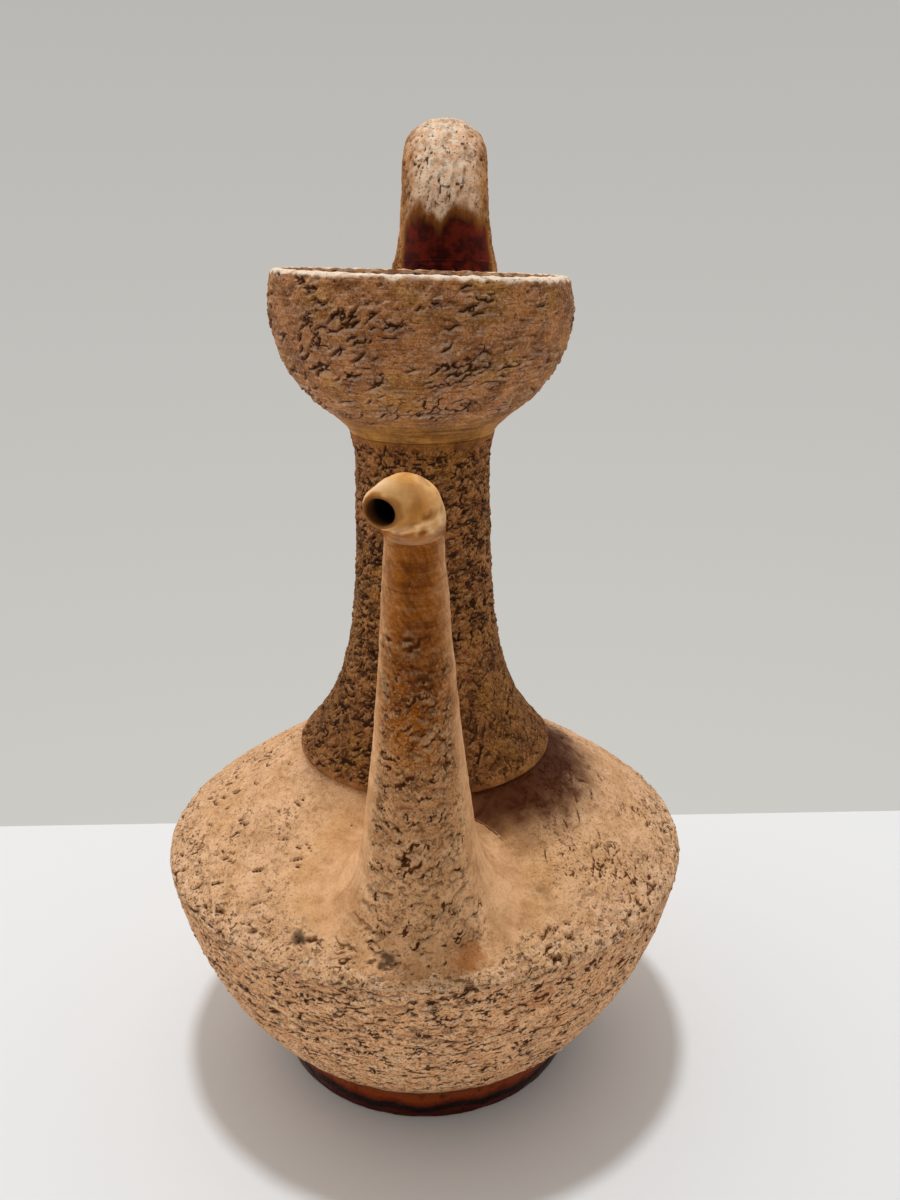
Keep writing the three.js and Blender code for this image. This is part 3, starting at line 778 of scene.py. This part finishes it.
def make_neck():
    lip_end = LIP_R - LIP_DRAFT, SEAT_Z + LIP_HEIGHT
    lip = bent_curve((LIP_R - LIP_ROUND, SEAT_Z), (LIP_R + LIP_BULGE, SEAT_Z), lip_end, LIP_STEPS)
    outer = turned(evenly(np.vstack([lip[:-1], trumpet(lip_end[0], NECK_R, lip_end[1])]), NECK_SPACING),
                   NECK_COLUMNS)
    relief = Relief(outer, seed=13)
    x, _, z = np.moveaxis(outer, -1, 0)
    fade = ramp(*NECK_FADES[0], z) * ramp(*NECK_FADES[1], z)
    hollow = hollows(outer, *NECK_HOLLOWS) * fade
    relief.height += fade * (0.25 * fractal(outer, (6, 6, 4), 2, 31) - 0.55 * hollow)
    relief.height += 0.05 * fractal(outer, (40, 40, 1.4), 2, 32) + waist_fillet(z)
    low = ramp(*SLASH_FADE, z) * ramp(*SLASH_SIDE_FADE, x)
    relief.scatter(*NECK_MARKS, where=fade * (1 - low))
    relief.scatter(*NECK_SLASHES, where=fade * low)
    torn = ramp(-0.1, 0.3, fractal(outer, (5, 5, 4), 2, 95))
    relief.scales(outer, fade * torn * (1 - low), *NECK_SCALES)
    looks_down, looks_up = relief.slopes()
    # Painted shade in hollows and where the relief looks down, painted highlights where it looks up
    masks = {
        "dark": relief.dark,
        "shade": 0.3 * hollow + np.minimum(0.9 * looks_down, 0.5),
        "pale_and_highlight": np.minimum(0.8 * looks_up, 0.55) * fade,
        "pits": fade,
        "tone": ramp(-0.2, 0.4, noise(outer, (9, 9, 14), 38)),
    }
    inner = turned(evenly(trumpet(SEAT_BORE_R, NECK_BORE_R, SEAT_Z)[::-1], INNER_SPACING), NECK_COLUMNS)
    closed_piece("neck", [moved_out(relief), inner], ["neck"], neck_clay, masks)


RIM_TILT = np.array([-0.028, -0.034])
RIM_DROP = 0.4
TILT_START = 12.0
CUP_COLUMNS, CUP_SPACING, CUP_INNER_SPACING = 640, 0.44, 6.0
CUP_SLANT = 0.28
CUP_MARKS = 800, (2.0, 7.0), (0.25, 0.5), (0.4, 0.9), (18, 18)
CUP_SCALES = 3.4, 1.0, (7, 7, 3.5), 91, 0.75
CUP_HOLLOWS = (4.5, 4.5, 1.8), 0.25, 0.7, 24
WAIST_FADE = CUP_SEAT_Z + 9, CUP_SEAT_Z + 3
RIM_FADE, INSIDE_FADE = (RIM_Z - 1.5, RIM_Z - 0.3), (CUP_R - CUP_WALL + 1.5, CUP_R - CUP_WALL)
CUP_LOW_FADE = RIM_Z - 8, RIM_Z - 24


def tilted(grid):
    """The cup's mouth leans a little, as it does on the thrown jug."""
    share = ramp(CUP_SEAT_Z + TILT_START, RIM_Z, grid[..., 2])
    return lowered(grid, share * (RIM_DROP - grid[..., :2] @ RIM_TILT))


def make_cup():
    outer = turned(evenly(np.vstack([cup_outside(), rim_turn()]), CUP_SPACING), CUP_COLUMNS)
    relief = Relief(outer, seed=14)
    x, y, z = np.moveaxis(outer, -1, 0)
    waist = ramp(*WAIST_FADE, z)
    top = ramp(*RIM_FADE, z + 0.9 * noise(outer, 3, 30))
    inside = ramp(*INSIDE_FADE, np.hypot(x, y)) * top
    bark = (1 - waist) * (1 - top)
    slanted = lowered(outer, CUP_SLANT * x)
    hollow = hollows(slanted, *CUP_HOLLOWS) * bark
    lines = fractal(outer, (40, 40, 1.0), 2, 33)
    relief.height += 0.06 * lines + bark * (0.16 * fractal(outer, (8, 8, 4), 3, 34) - 0.3 * hollow) - 0.1
    relief.height += top * 0.3 * fractal(outer, 2.6, 2, 35) + waist_fillet(z)
    groups = ramp(-0.3, 0.3, noise(outer, (20, 20, 9), 36)) * bark
    torn = ramp(-0.1, 0.3, fractal(outer, (8, 8, 4), 2, 39))
    low = ramp(*CUP_LOW_FADE, z)
    relief.scales(slanted, unit(groups + 0.6 * low) * bark * torn, *CUP_SCALES)
    relief.scatter(*CUP_MARKS, where=(0.15 + 0.85 * groups) * bark)
    looks_down, looks_up = relief.slopes()
    # Painted shade in hollows and where the bark looks down, painted highlights where it looks up; the rim
    # top is pale bare clay with a painted highlight
    masks = {
        "dark": relief.dark,
        "shade": 0.15 * hollow + bark * np.minimum(looks_down, 0.6),
        "pale_and_highlight": top * (1.3 + 0.9 * noise(outer, 4, 37)) * (1 - inside)
                + bark * np.minimum(0.5 * looks_up, 0.26),
        "pits": bark + 0.6 * top,
        "rings": 0.65 * (1 - top),
        "tone": waist + 0.7 * ramp(0.0, 0.45, noise(outer, (13, 13, 9), 40)),
    }
    inner = turned(evenly(cup_inside()[::-1], CUP_INNER_SPACING)[1:], CUP_COLUMNS)
    grids = [tilted(moved_out(relief)), tilted(inner)]
    closed_piece("cup", grids, ["cup"], cup_clay, masks)


LINER_COLUMNS = 240
BODY_LINER_SPACING, NECK_LINER_SPACING, CUP_LINER_SPACING = 3, 2, 1


def make_liner():
    wall = np.vstack([[(AXIS_R, FLOOR_Z)],
                      evenly(bowl_inside(), BODY_LINER_SPACING),
                      evenly(shoulder_inside(), BODY_LINER_SPACING)[1:],
                      evenly(trumpet(SEAT_BORE_R, NECK_BORE_R, SEAT_Z), NECK_LINER_SPACING),
                      evenly(cup_inside(), CUP_LINER_SPACING)[1:]])
    along = directions(wall)
    inward = np.stack([-along[:, 1], along[:, 0]], -1)
    back, face = (wall + inward * d for d in (CLEARANCE, CLEARANCE + GLAZE))
    grid = turned(np.vstack([back, face[::-1]]), LINER_COLUMNS)
    closed_piece("liner", [tilted(grid)], ["liner_glaze"], liner_glaze, loop=False)


def ring(centre, across, up, width, height, columns):
    angle = angles(columns)
    aside, rise = width / 2 * np.cos(angle), height / 2 * np.sin(angle)
    return centre + across * aside[:, None] + up * rise[:, None]


FILLET_FRONT, FILLET_BACK, FILLET_SIDE = 5.0, 4.0, 12.0
FILLET_RISE = 1.7
HIDDEN_REACH, HIDDEN_SINK = 1.0, 0.8
SPOUT_COLUMNS, FILLET_ROWS, TUBE_ROWS, BORE_ROWS = 320, 70, 230, 12
SEARCH_REACH, SEARCH_STEPS = 40.0, 30
CORNER_ROUNDS = 8
SPOUT_SLANT = 0.4
WRINKLE_SLANT = 0.5
ROOT_FADE, CLEAR_FADE = (16, 2), (0, 3)
UPPER_FADE, PALE_FADE = (45, 70), (66, 8)
GOUGE_FADE = SPOUT_LENGTH - 14, SPOUT_LENGTH - 40
SPOUT_GOUGES = 260, (2.0, 5.0), (0.45, 0.8), (0.6, 1.0), (28, 16)
SPOUT_NICKS = 130, (0.9, 2.6), (0.25, 0.5), (0.2, 0.45), (12, 40)
SPOUT_SCALES = 4.4, 1.1, (5, 5, 4), 98, 0.8
SPOUT_HOLLOWS = (3.0, 3.0, 2.4), 0.15, 0.6, 44
SPOUT_RUST = (12.5, -73.5, 76.5), 6, 86, 0.5
SPOUT_STAIN = (-8.3, -74, 77), 3.0, 87, 0.8


def spout_radius(along):
    waist = SPOUT_WAIST * np.sin(math.pi * unit(along / SPOUT_LENGTH))
    return SPOUT_ROOT_R + (SPOUT_TOP_R - SPOUT_ROOT_R) * along / SPOUT_LENGTH - waist


def spout_points(along, radius, out):
    return SPOUT_ROOT + SPOUT_UP * along[..., None] + out * radius[..., None]


def above_shoulder(points):
    return points[..., 2] - shoulder_height(np.hypot(points[..., 0], points[..., 1]))


def shoulder_along(radius, out):
    """Distance along the spout's axis where the shoulder lies, for directions and distances from the axis."""
    low, high = (np.full(radius.shape, reach) for reach in (-SEARCH_REACH, SEARCH_REACH))
    for _ in range(SEARCH_STEPS):
        middle = (low + high) / 2
        over = above_shoulder(spout_points(middle, radius, out)) > 0
        low, high = np.where(over, low, middle), np.where(over, middle, high)
    return (low + high) / 2


def make_spout():
    angle = angles(SPOUT_COLUMNS)
    out = ACROSS * np.cos(angle)[:, None] + SPOUT_BACK * np.sin(angle)[:, None]
    facing = np.sin(angle)
    fillet = (FILLET_SIDE * np.cos(angle) ** 2
              + facing ** 2 * np.where(facing > 0, FILLET_BACK, FILLET_FRONT))
    corner = np.zeros(SPOUT_COLUMNS)
    for _ in range(CORNER_ROUNDS):
        corner = shoulder_along(spout_radius(corner), out)
    start_r = spout_radius(corner) + fillet
    start = shoulder_along(start_r, out)
    top = corner + fillet * FILLET_RISE
    share = np.linspace(0, 1, FILLET_ROWS)[:, None]
    weights = (1 - share) ** 2, 2 * share * (1 - share), share ** 2
    radius = weights[0] * start_r + weights[1] * spout_radius(corner) + weights[2] * spout_radius(top)
    along = weights[0] * start + weights[1] * corner + weights[2] * top
    tube = top + (SPOUT_LENGTH - top) * np.linspace(0, 1, TUBE_ROWS + 1)[1:, None]
    hidden_r = start_r + HIDDEN_REACH
    hidden = shoulder_along(hidden_r, out) - HIDDEN_SINK
    along = np.vstack([hidden[None], along, tube])
    radius = np.vstack([hidden_r[None], radius, spout_radius(tube)])
    outer = spout_points(along, radius, np.broadcast_to(out, (*along.shape, 3)))
    relief = Relief(outer, seed=15)
    direction, distance = from_spout(outer)
    above = np.maximum(above_shoulder(outer), 0)
    root = ramp(*ROOT_FADE, above)
    sides = np.abs(direction[..., 0])
    front = ramp(0.0, 0.5, -direction[..., 1]) * ramp(0.95, 0.75, sides)
    upper = ramp(*UPPER_FADE, along)
    rings = np.stack([0 * along, 0 * along, along], -1)
    brush = strokes(direction, distance - 0.5 * above)
    streaked = unit(sides * (1 - upper) + root) * (1 - 0.8 * front)
    relief.height += 0.09 * root * body_noise(outer) - SKIN
    turning = fractal(rings, (9, 9, 0.8), 2, 41)
    relief.height += 0.05 * streaked * brush + 0.05 * upper * turning
    relief.height += (1 - root) * 0.14 * fractal(outer, 6, 3, 43)
    gouged = front * ramp(*GOUGE_FADE, along)
    leaning = outer.copy()
    leaning[..., 0] += WRINKLE_SLANT * outer[..., 2]
    wrinkled = upper * fractal(leaning, (1.1, 1.1, 3.2), 3, 45)
    relief.height += 0.06 * wrinkled
    clear = ramp(*CLEAR_FADE, above)
    hollow = hollows(outer, *SPOUT_HOLLOWS) * gouged * clear
    relief.height -= 0.5 * hollow
    relief.scatter(*SPOUT_GOUGES, where=gouged * 0.6, lip=0.6)
    relief.scatter(*SPOUT_NICKS, where=gouged * 0.8 + 0.1 * (1 - root))
    torn = ramp(0.1, 0.4, fractal(outer, (5, 5, 4), 2, 97))
    relief.scales(lowered(outer, SPOUT_SLANT * outer[..., 0]), gouged * torn * clear, *SPOUT_SCALES)
    looks_down, looks_up = relief.slopes()
    # Painted shade down the middle of the spout's front
    middle = ramp(0.6, 0.2, np.abs(direction[..., 0] - 0.1))
    # Painted shade in hollows and where the relief looks down, painted highlights where it looks up; the
    # lighter edges in the tone mask are painted light on the spout's sides
    masks = {
        "dark": relief.dark,
        "shade": 0.2 * hollow + 0.15 * streaked * ramp(0.1, 0.7, -brush)
                 + 0.3 * upper * (1 - sides ** 3) * ramp(0.0, 0.5, -turning)
                 + 0.3 * upper * middle + 0.25 * ramp(0.0, 0.5, -wrinkled)
                 + np.minimum(1.1 * looks_down, 0.55),
        "pale_and_highlight": 0.2 * streaked * ramp(0.1, 0.7, brush) + np.minimum(0.8 * looks_up, 0.5)
                + 0.06 * ramp(0.1, 0.5, wrinkled),
        "tone": ramp(*PALE_FADE, along + 8 * noise(outer, (9, 9, 12), 89)) * (1 - 0.2 * gouged)
                + 0.8 * sides ** 5,
        "pits": 0.7 * gouged * (1 - 0.5 * root),
        "rings": 0.45 * upper,
        "rust": spots(outer, SPOUT_RUST),
        "stain": spots(outer, SPOUT_STAIN),
    }
    bore = np.linspace(SPOUT_LENGTH, -ROOT_SINK, BORE_ROWS)
    bore_r = SPOUT_BORE_R[0] + (SPOUT_BORE_R[1] - SPOUT_BORE_R[0]) * bore / SPOUT_LENGTH
    inner = spout_points(bore[:, None], bore_r[:, None], out[None])
    closed_piece("spout", [moved_out(relief), inner], ["spout_tube"], spout_clay, masks)


def beak_frames(steps):
    """Points along the beak's bent axis, its cross directions, the way its bend bulges and the way it pours.
    The first point closes the joint to the tube but for the seam's gap."""
    forward = np.array([-math.sin(BEAK_TURN), -math.cos(BEAK_TURN), 0.0])
    seam = SPOUT_ROOT + SPOUT_UP * (SPOUT_LENGTH + CLEARANCE)
    elbow = seam + SPOUT_UP * BEAK_RISE
    path = bent_curve(seam, elbow, elbow + forward * BEAK_REACH, steps)
    path = path + BEAK_DROOP * np.linspace(0, 1, steps + 1)[:, None] ** 2
    path[0] -= SPOUT_UP * (CLEARANCE - SEAM_GAP)
    side = np.cross(SPOUT_UP, forward)
    side /= np.linalg.norm(side)
    outward = SPOUT_UP - forward
    return path, side, np.cross(side, directions(path)), outward / np.linalg.norm(outward), forward


BEAK_COLUMNS, BEAK_STEPS = 200, 110
BEAK_NICKS = 14, (1.2, 2.8), (0.3, 0.5), (0.15, 0.3), (10, 25)
MOUTH_ROUND = 0.65
CREASE_RISE, CREASE_REACH, CREASE_DEPTH = 6.0, 1.1, 0.22
BORE_SHADE = 0.9
RIGHT_FADE, FACING_FADE = (-3.0, 3.0), (0.0, 3.0)
BELOW_FADES = (6.5, 4.5), (0.8, 2.6)
SEAM_FADE = 4.0, 1.4


def make_beak():
    path, side, up, outward, forward = beak_frames(BEAK_STEPS)
    share = np.linspace(0, 1, BEAK_STEPS + 1)

    def slanted(grid):
        """The mouth cut on the slant, so that it looks more to the front than the beak does."""
        across = (grid - path[:, None]) @ side
        return grid - (BEAK_SLANT * share[:, None] ** 2 * across)[..., None] * forward

    def pipe(centres, radii):
        rings = [ring(p, side, u, 2 * r, 2 * r, BEAK_COLUMNS) for p, u, r in zip(centres, up, radii)]
        return slanted(np.stack(rings))

    bulge = BEAK_SWELL * np.sin(math.pi * share)
    radius = SPOUT_TOP_R + (BEAK_MOUTH_R - SPOUT_TOP_R) * share + bulge
    radius -= MOUTH_ROUND * ramp(0.9, 1.0, share) ** 2
    outer = pipe(path + outward * bulge[:, None] * BEAK_LEAN, radius)
    relief = Relief(outer, seed=16)
    along = np.broadcast_to(share[:, None], outer.shape[:2])
    seam = ramp(0.22, 0.03, along)
    skin = SKIN * ramp(0.3, 0.0, along)
    relief.height += 0.22 * fractal(outer, (6, 6, 5), 3, 51) * (1 - seam) - skin
    right = ramp(*RIGHT_FADE, outer[..., 0] - path[:, None, 0])
    facing = ramp(*FACING_FADE, path[:, None, 1] - outer[..., 1])
    rise = (outer - path[0]) @ SPOUT_UP
    away = (rise - CREASE_RISE - 0.8 * noise(outer, 4, 55)) / CREASE_REACH
    crease = np.exp(-away ** 2) * right * facing
    relief.height -= CREASE_DEPTH * crease
    relief.scatter(*BEAK_NICKS, where=seam * facing)
    mouth = ramp(0.955, 0.995, along + 0.03 * noise(outer, 2.5, 57))
    dome = ramp(0.22, 0.36, along) * ramp(0.85, 0.65, along)
    below = ramp(*BELOW_FADES[0], rise) * ramp(*BELOW_FADES[1], rise + 0.8 * noise(outer, (3, 3, 2), 58))
    seam_brown = ramp(*SEAM_FADE, rise + 1.4 * fractal(outer, (3, 3, 2), 2, 54)) * ramp(0.6, 0.4, along)
    mottled = ramp(-0.3, 0.4, fractal(outer, 2.5, 3, 60))
    near_mouth = ramp(0.6, 0.85, along)
    # Painted shade with brown stain right of the mouth; pale cream below the crease and beside the mouth,
    # partly painted highlight
    masks = {
        "dark": 0.8 * relief.dark,
        "shade": 0.3 * seam_brown * ramp(-0.2, 0.4, noise(outer, (3, 3, 1), 52)) + 0.5 * mouth
                 + 0.35 * near_mouth * right * (1 - mouth)
                 + 0.45 * crease * ramp(-0.5, 0.2, noise(outer, 3, 59)),
        "pale_and_highlight": 0.2 * ramp(-0.1, 0.5, noise(outer, (7, 7, 6), 53))
                + below * (0.1 + 0.3 * right) * (0.4 + 0.6 * mottled) * (1 - seam_brown)
                + 0.5 * near_mouth * (1 - mouth) * (1 - right),
        "tone": 0.95 * seam_brown + 0.2 * below * (1 - mottled)
                + 0.5 * dome * ramp(0.0, 0.45, fractal(outer, (4, 4, 3), 3, 56)),
        "rings": 0.5 * seam_brown,
        "rust": 0.5 * mouth,
    }
    inner = pipe(path, SPOUT_BORE_R[1] + (BEAK_BORE_R - SPOUT_BORE_R[1]) * share)[::-3]
    plain = np.zeros(inner.shape[:2])
    # Darker further into the bore: painted shade
    deep = np.linspace(0.1, 6.0, len(inner))[:, None]
    masks["stain"] = np.vstack([np.zeros(outer.shape[:2]), plain + deep])
    masks["shade"] = np.vstack([unit(masks["shade"]), plain + BORE_SHADE])
    closed_piece("beak", [moved_out(relief), inner], ["spout_beak"], beak_clay, masks)


HANDLE_COLUMNS, HANDLE_SPACING = 220, 0.6
ARCH_STEPS, RUN_STEPS = 40, 80
HANDLE_LEG, HANDLE_ROOT_LEAN = 14.0, 3.0
HANDLE_END_ROUND = 4.0
HANDLE_INSET = 2.0
HANDLE_MARKS = 1500, (0.8, 2.4), (0.25, 0.45), (0.2, 0.5), (0, 60)
HANDLE_HOLLOWS = 2.2, 0.2, 0.6, 63
GLAZE_LINE = 12.0
GLAZE_LOBES = ((-7.7, 3.2), (4.6, 4.0))
LOBE_RISE = 4.0
COAT_LEFT, COAT_RIGHT = (-12.5, -9.5), (13.5, 10.5)
COAT_WIDENS, COAT_WIDE_BELOW = 0.12, 20.0
COAT_FADE, COAT_SWAY = (-4.0, 8.0), 2.2
# Heights where the painted highlight on the handle's front starts and where it is full
HANDLE_HIGHLIGHT_FADE = HANDLE_TOP_Z - 34, HANDLE_TOP_Z - 12


def handle_path():
    """Centre line of the handle, as depth and height: root, leg, round arch and run down to the shoulder."""
    back_y = HANDLE_FRONT_Y + HANDLE_SPAN
    arch_r = HANDLE_SPAN / 2
    spring_z = HANDLE_TOP_Z - HANDLE_THICKNESS / 2 - arch_r
    leg = [(HANDLE_FRONT_Y - HANDLE_ROOT_LEAN, RIM_Z - HANDLE_LEG), (HANDLE_FRONT_Y, RIM_Z),
           (HANDLE_FRONT_Y, spring_z)]
    angle = np.linspace(math.pi, 0, ARCH_STEPS + 1)
    arch = np.stack([HANDLE_FRONT_Y + arch_r + arch_r * np.cos(angle),
                     spring_z + arch_r * np.sin(angle)], -1)
    foot_z = shoulder_height(HANDLE_FOOT_Y)
    a, b, c, d = (np.array(p, float) for p in (
        (back_y, spring_z), (back_y, CUP_SEAT_Z), (back_y, foot_z + HANDLE_FOOT_RISE),
        (HANDLE_FOOT_Y, foot_z - HANDLE_FOOT_SINK)))
    t = np.linspace(0, 1, RUN_STEPS + 1)[:, None]
    run = (1 - t) ** 3 * a + 3 * t * (1 - t) ** 2 * b + 3 * t * t * (1 - t) * c + t ** 3 * d
    return evenly(np.vstack([leg, arch[1:], run[1:]]), HANDLE_SPACING)


def handle_coat(points):
    """Thickness of the glaze that ran from the cup on to the handle's front: two lobes between bare edges."""
    x = points[..., 0] - HANDLE_X
    line = RIM_Z + GLAZE_LINE + COAT_SWAY * fractal(points, (3, 3, 8), 3, 61)
    for middle, reach in GLAZE_LOBES:
        line = line + LOBE_RISE * np.exp(-((x - middle) / reach) ** 2)
    below = line - points[..., 2]
    widen = np.clip(below, 0, COAT_WIDE_BELOW) * COAT_WIDENS
    edges = (ramp(COAT_LEFT[0] - widen, COAT_LEFT[1] - widen, x)
             * ramp(COAT_RIGHT[0] + widen, COAT_RIGHT[1] + widen, x))
    return ramp(*COAT_FADE, below) * edges * (points[..., 1] < HANDLE_FRONT_Y)


def make_handle():
    path = handle_path()
    along = np.arange(len(path)) * HANDLE_SPACING
    share = along / along[-1]
    from_end = np.minimum(along - HANDLE_LEG, along[-1] - along - HANDLE_FOOT_SINK)
    flare = HANDLE_FLARE * np.exp(-np.maximum(from_end, 0) / HANDLE_FLARE_FADE)
    worn_end = np.sqrt(1 - (1 - unit(along / HANDLE_END_ROUND)) ** 2)
    swell = HANDLE_END_ROUND * 2 * (worn_end - 1)
    outer = np.stack([
        ring(np.array([HANDLE_X, *p]), ACROSS, np.array([0.0, t[1], -t[0]]),
             HANDLE_WIDTH - HANDLE_TAPER * s + f + w, HANDLE_THICKNESS - HANDLE_TAPER * s + w, HANDLE_COLUMNS)
        for p, t, s, f, w in zip(path, directions(path), share, flare, swell)])
    relief = Relief(outer, seed=17)
    coat = handle_coat(outer)
    bare = 1 - unit(coat * 1.5)
    hollow = hollows(outer, *HANDLE_HOLLOWS) * bare
    relief.height += bare * 0.30 * fractal(outer, 5, 3, 62) - 0.4 * hollow - SKIN
    relief.scatter(*HANDLE_MARKS, where=bare)
    side = np.abs(outer[..., 0] - HANDLE_X) / (HANDLE_WIDTH / 2)
    top = ramp(*HANDLE_HIGHLIGHT_FADE, outer[..., 2])
    # Painted shade in hollows and on the relief's slopes, and a painted highlight on the upper middle of the
    # front
    masks = {
        "dark": relief.dark,
        "shade": unit(0.3 * hollow + np.minimum(0.4 * np.add(*relief.slopes()), 0.3)) * bare,
        "pale_and_highlight": 0.9 * top * ramp(0.95, 0.3, side) * ramp(-0.35, 0.5, fractal(outer, 2.4, 3, 64)),
        "pits": bare,
        "tone": ramp(0.55, 1.0, side) + 0.5 * ramp(0.0, 0.4, fractal(outer, 4, 3, 65)),
        "glaze": coat,
    }
    moved = moved_out(relief)
    wall = cup_outside()
    wall_r = np.interp(moved[..., 2], wall[:, 1], wall[:, 0]) - HANDLE_INSET
    radius = np.hypot(moved[..., 0], moved[..., 1])
    push = np.where((moved[..., 2] < RIM_Z - 1) & (radius < wall_r), wall_r / radius, 1.0)
    moved[..., :2] *= push[..., None]
    closed_piece("handle", [moved], ["handle"], handle_clay, masks, loop=False)


FOOT_COLUMNS, COAT_COLUMNS = 240, 600
RECESS_R, RECESS_DEPTH = 36.0, 5.0
FOOT_DRAFT, FOOT_BEVEL = 1.0, 0.4


def make_foot():
    clay_r = FOOT_R - GLAZE - CLEARANCE - FOOT_DRAFT
    outline = np.array([(AXIS_R, RECESS_DEPTH), (RECESS_R, RECESS_DEPTH), (RECESS_R + 0.4, 0.6),
                        (RECESS_R + 1, 0), (clay_r - FOOT_BEVEL, 0), (clay_r, FOOT_BEVEL),
                        (clay_r + FOOT_DRAFT, FOOT_TOP), (AXIS_R, FOOT_TOP)])
    closed_piece("foot", [turned(outline, FOOT_COLUMNS)], ["foot"], foot_clay, loop=False)
    wall = evenly([(FOOT_R - FOOT_DRAFT, FOOT_BEVEL), (FOOT_R, FOOT_TOP - CLEARANCE)], 0.4)
    outer = turned(wall, COAT_COLUMNS)
    lumps = 0.25 * fractal(outer, (7, 7, 3), 2, 71)
    outer = outer + normals_of(outer) * np.minimum(lumps, 0.0)[..., None]
    inner = turned(wall[::-6] - (GLAZE, 0), COAT_COLUMNS)
    closed_piece("foot_coat", [outer, inner], ["foot_glaze"], foot_glaze)


make_body()
make_neck()
make_cup()
make_liner()
make_spout()
make_beak()
make_handle()
make_foot()


# Stage, light and camera

def flat_sheet(name, corners, material):
    mesh = bpy.data.meshes.new(name)
    mesh.from_pydata([(x * MM, y * MM, 0) for x, y in corners], [], [range(len(corners))])
    mesh.materials.append(material)
    sheet = placed(name, mesh)


FLOOR_REACH = 1500.0
FLOOR_BACK = 122.7
FLOOR_SKEW = 0.0335
floor_material, _, floor_shader = new_material("floor_white")
floor_shader.inputs["Base Color"].default_value = linear("eceff1")
floor_shader.inputs["Roughness"].default_value = 0.7
flat_sheet("floor", [(-FLOOR_REACH, -FLOOR_REACH), (FLOOR_REACH, -FLOOR_REACH),
                     (FLOOR_REACH, FLOOR_BACK + FLOOR_SKEW * FLOOR_REACH),
                     (-FLOOR_REACH, FLOOR_BACK - FLOOR_SKEW * FLOOR_REACH)], floor_material)

SKY_COLOUR = (1.0, 0.94, 0.88, 1)
SKY_FRONT, SKY_BACK = 0.24, 0.62
SKY_LEVEL, SKY_ZENITH = 1.60, 1.00
SKY_LEFT, SKY_RIGHT = 1.24, 0.78
WALL_LOW, WALL_HIGH = -0.5, 0.16
world = bpy.data.worlds.new("room")
bpy.context.scene.world = world
world.use_nodes = True
room = world.node_tree
toward = add(room, "ShaderNodeTexCoord").outputs["Generated"]
heading = add(room, "ShaderNodeSeparateXYZ", {"Vector": toward}).outputs
sky = room.nodes["Background"]
sky.inputs["Color"].default_value = SKY_COLOUR
depth = span(room, heading["Y"], -1.0, 0.2, SKY_FRONT, SKY_BACK)
rise = span(room, heading["Z"], 0.0, 1.0, SKY_LEVEL, SKY_ZENITH)
aside = span(room, heading["X"], -1.0, 1.0, SKY_LEFT, SKY_RIGHT)
room.links.new(times(room, times(room, depth, rise), aside), sky.inputs["Strength"])
wall_colour = mix(room, span(room, heading["Z"], WALL_LOW, WALL_HIGH), linear("cdcbc6"), linear("bab8b4"))
wall_look = add(room, "ShaderNodeBackground", {"Color": wall_colour, "Strength": 1.0})
ray = add(room, "ShaderNodeLightPath").outputs
seen = calculate(room, "MAXIMUM", ray["Is Camera Ray"], ray["Is Transmission Ray"])
shown = add(room, "ShaderNodeMixShader", {0: seen, 1: sky.outputs[0], 2: wall_look.outputs[0]})
room.links.new(shown.outputs[0], room.nodes["World Output"].inputs["Surface"])

KEY_PLACE = (-0.135, 0.075, 2.87)
KEY_POWER = 33.0
KEY_SIZE = 0.26
KEY_COLOUR = (0.97, 1.0, 1.03)
key_data = bpy.data.lights.new("key", "AREA")
key_data.shape = "DISK"
key_data.size = KEY_SIZE
key_data.energy = KEY_POWER
key_data.color = KEY_COLOUR
key = placed("key", key_data)
key.location = KEY_PLACE
key.rotation_euler = (-math.atan2(KEY_PLACE[1], KEY_PLACE[2]), -math.atan2(-KEY_PLACE[0], KEY_PLACE[2]), 0)

CAMERA_PLACE = (7.58 * MM, -300.38 * MM, 251.72 * MM)
CAMERA_PITCH = math.radians(19.498)
CAMERA_LENS = 33.0
SENSOR_WIDTH = 36.0
CLIP_START = 0.01
camera_data = bpy.data.cameras.new("camera")
camera_data.lens = CAMERA_LENS
camera_data.sensor_width = SENSOR_WIDTH
camera_data.clip_start = CLIP_START
camera = placed("camera", camera_data)
camera.location = CAMERA_PLACE
camera.rotation_euler = (math.pi / 2 - CAMERA_PITCH, 0, 0)
bpy.context.scene.camera = camera
bpy.context.scene.view_settings.view_transform = "Standard"
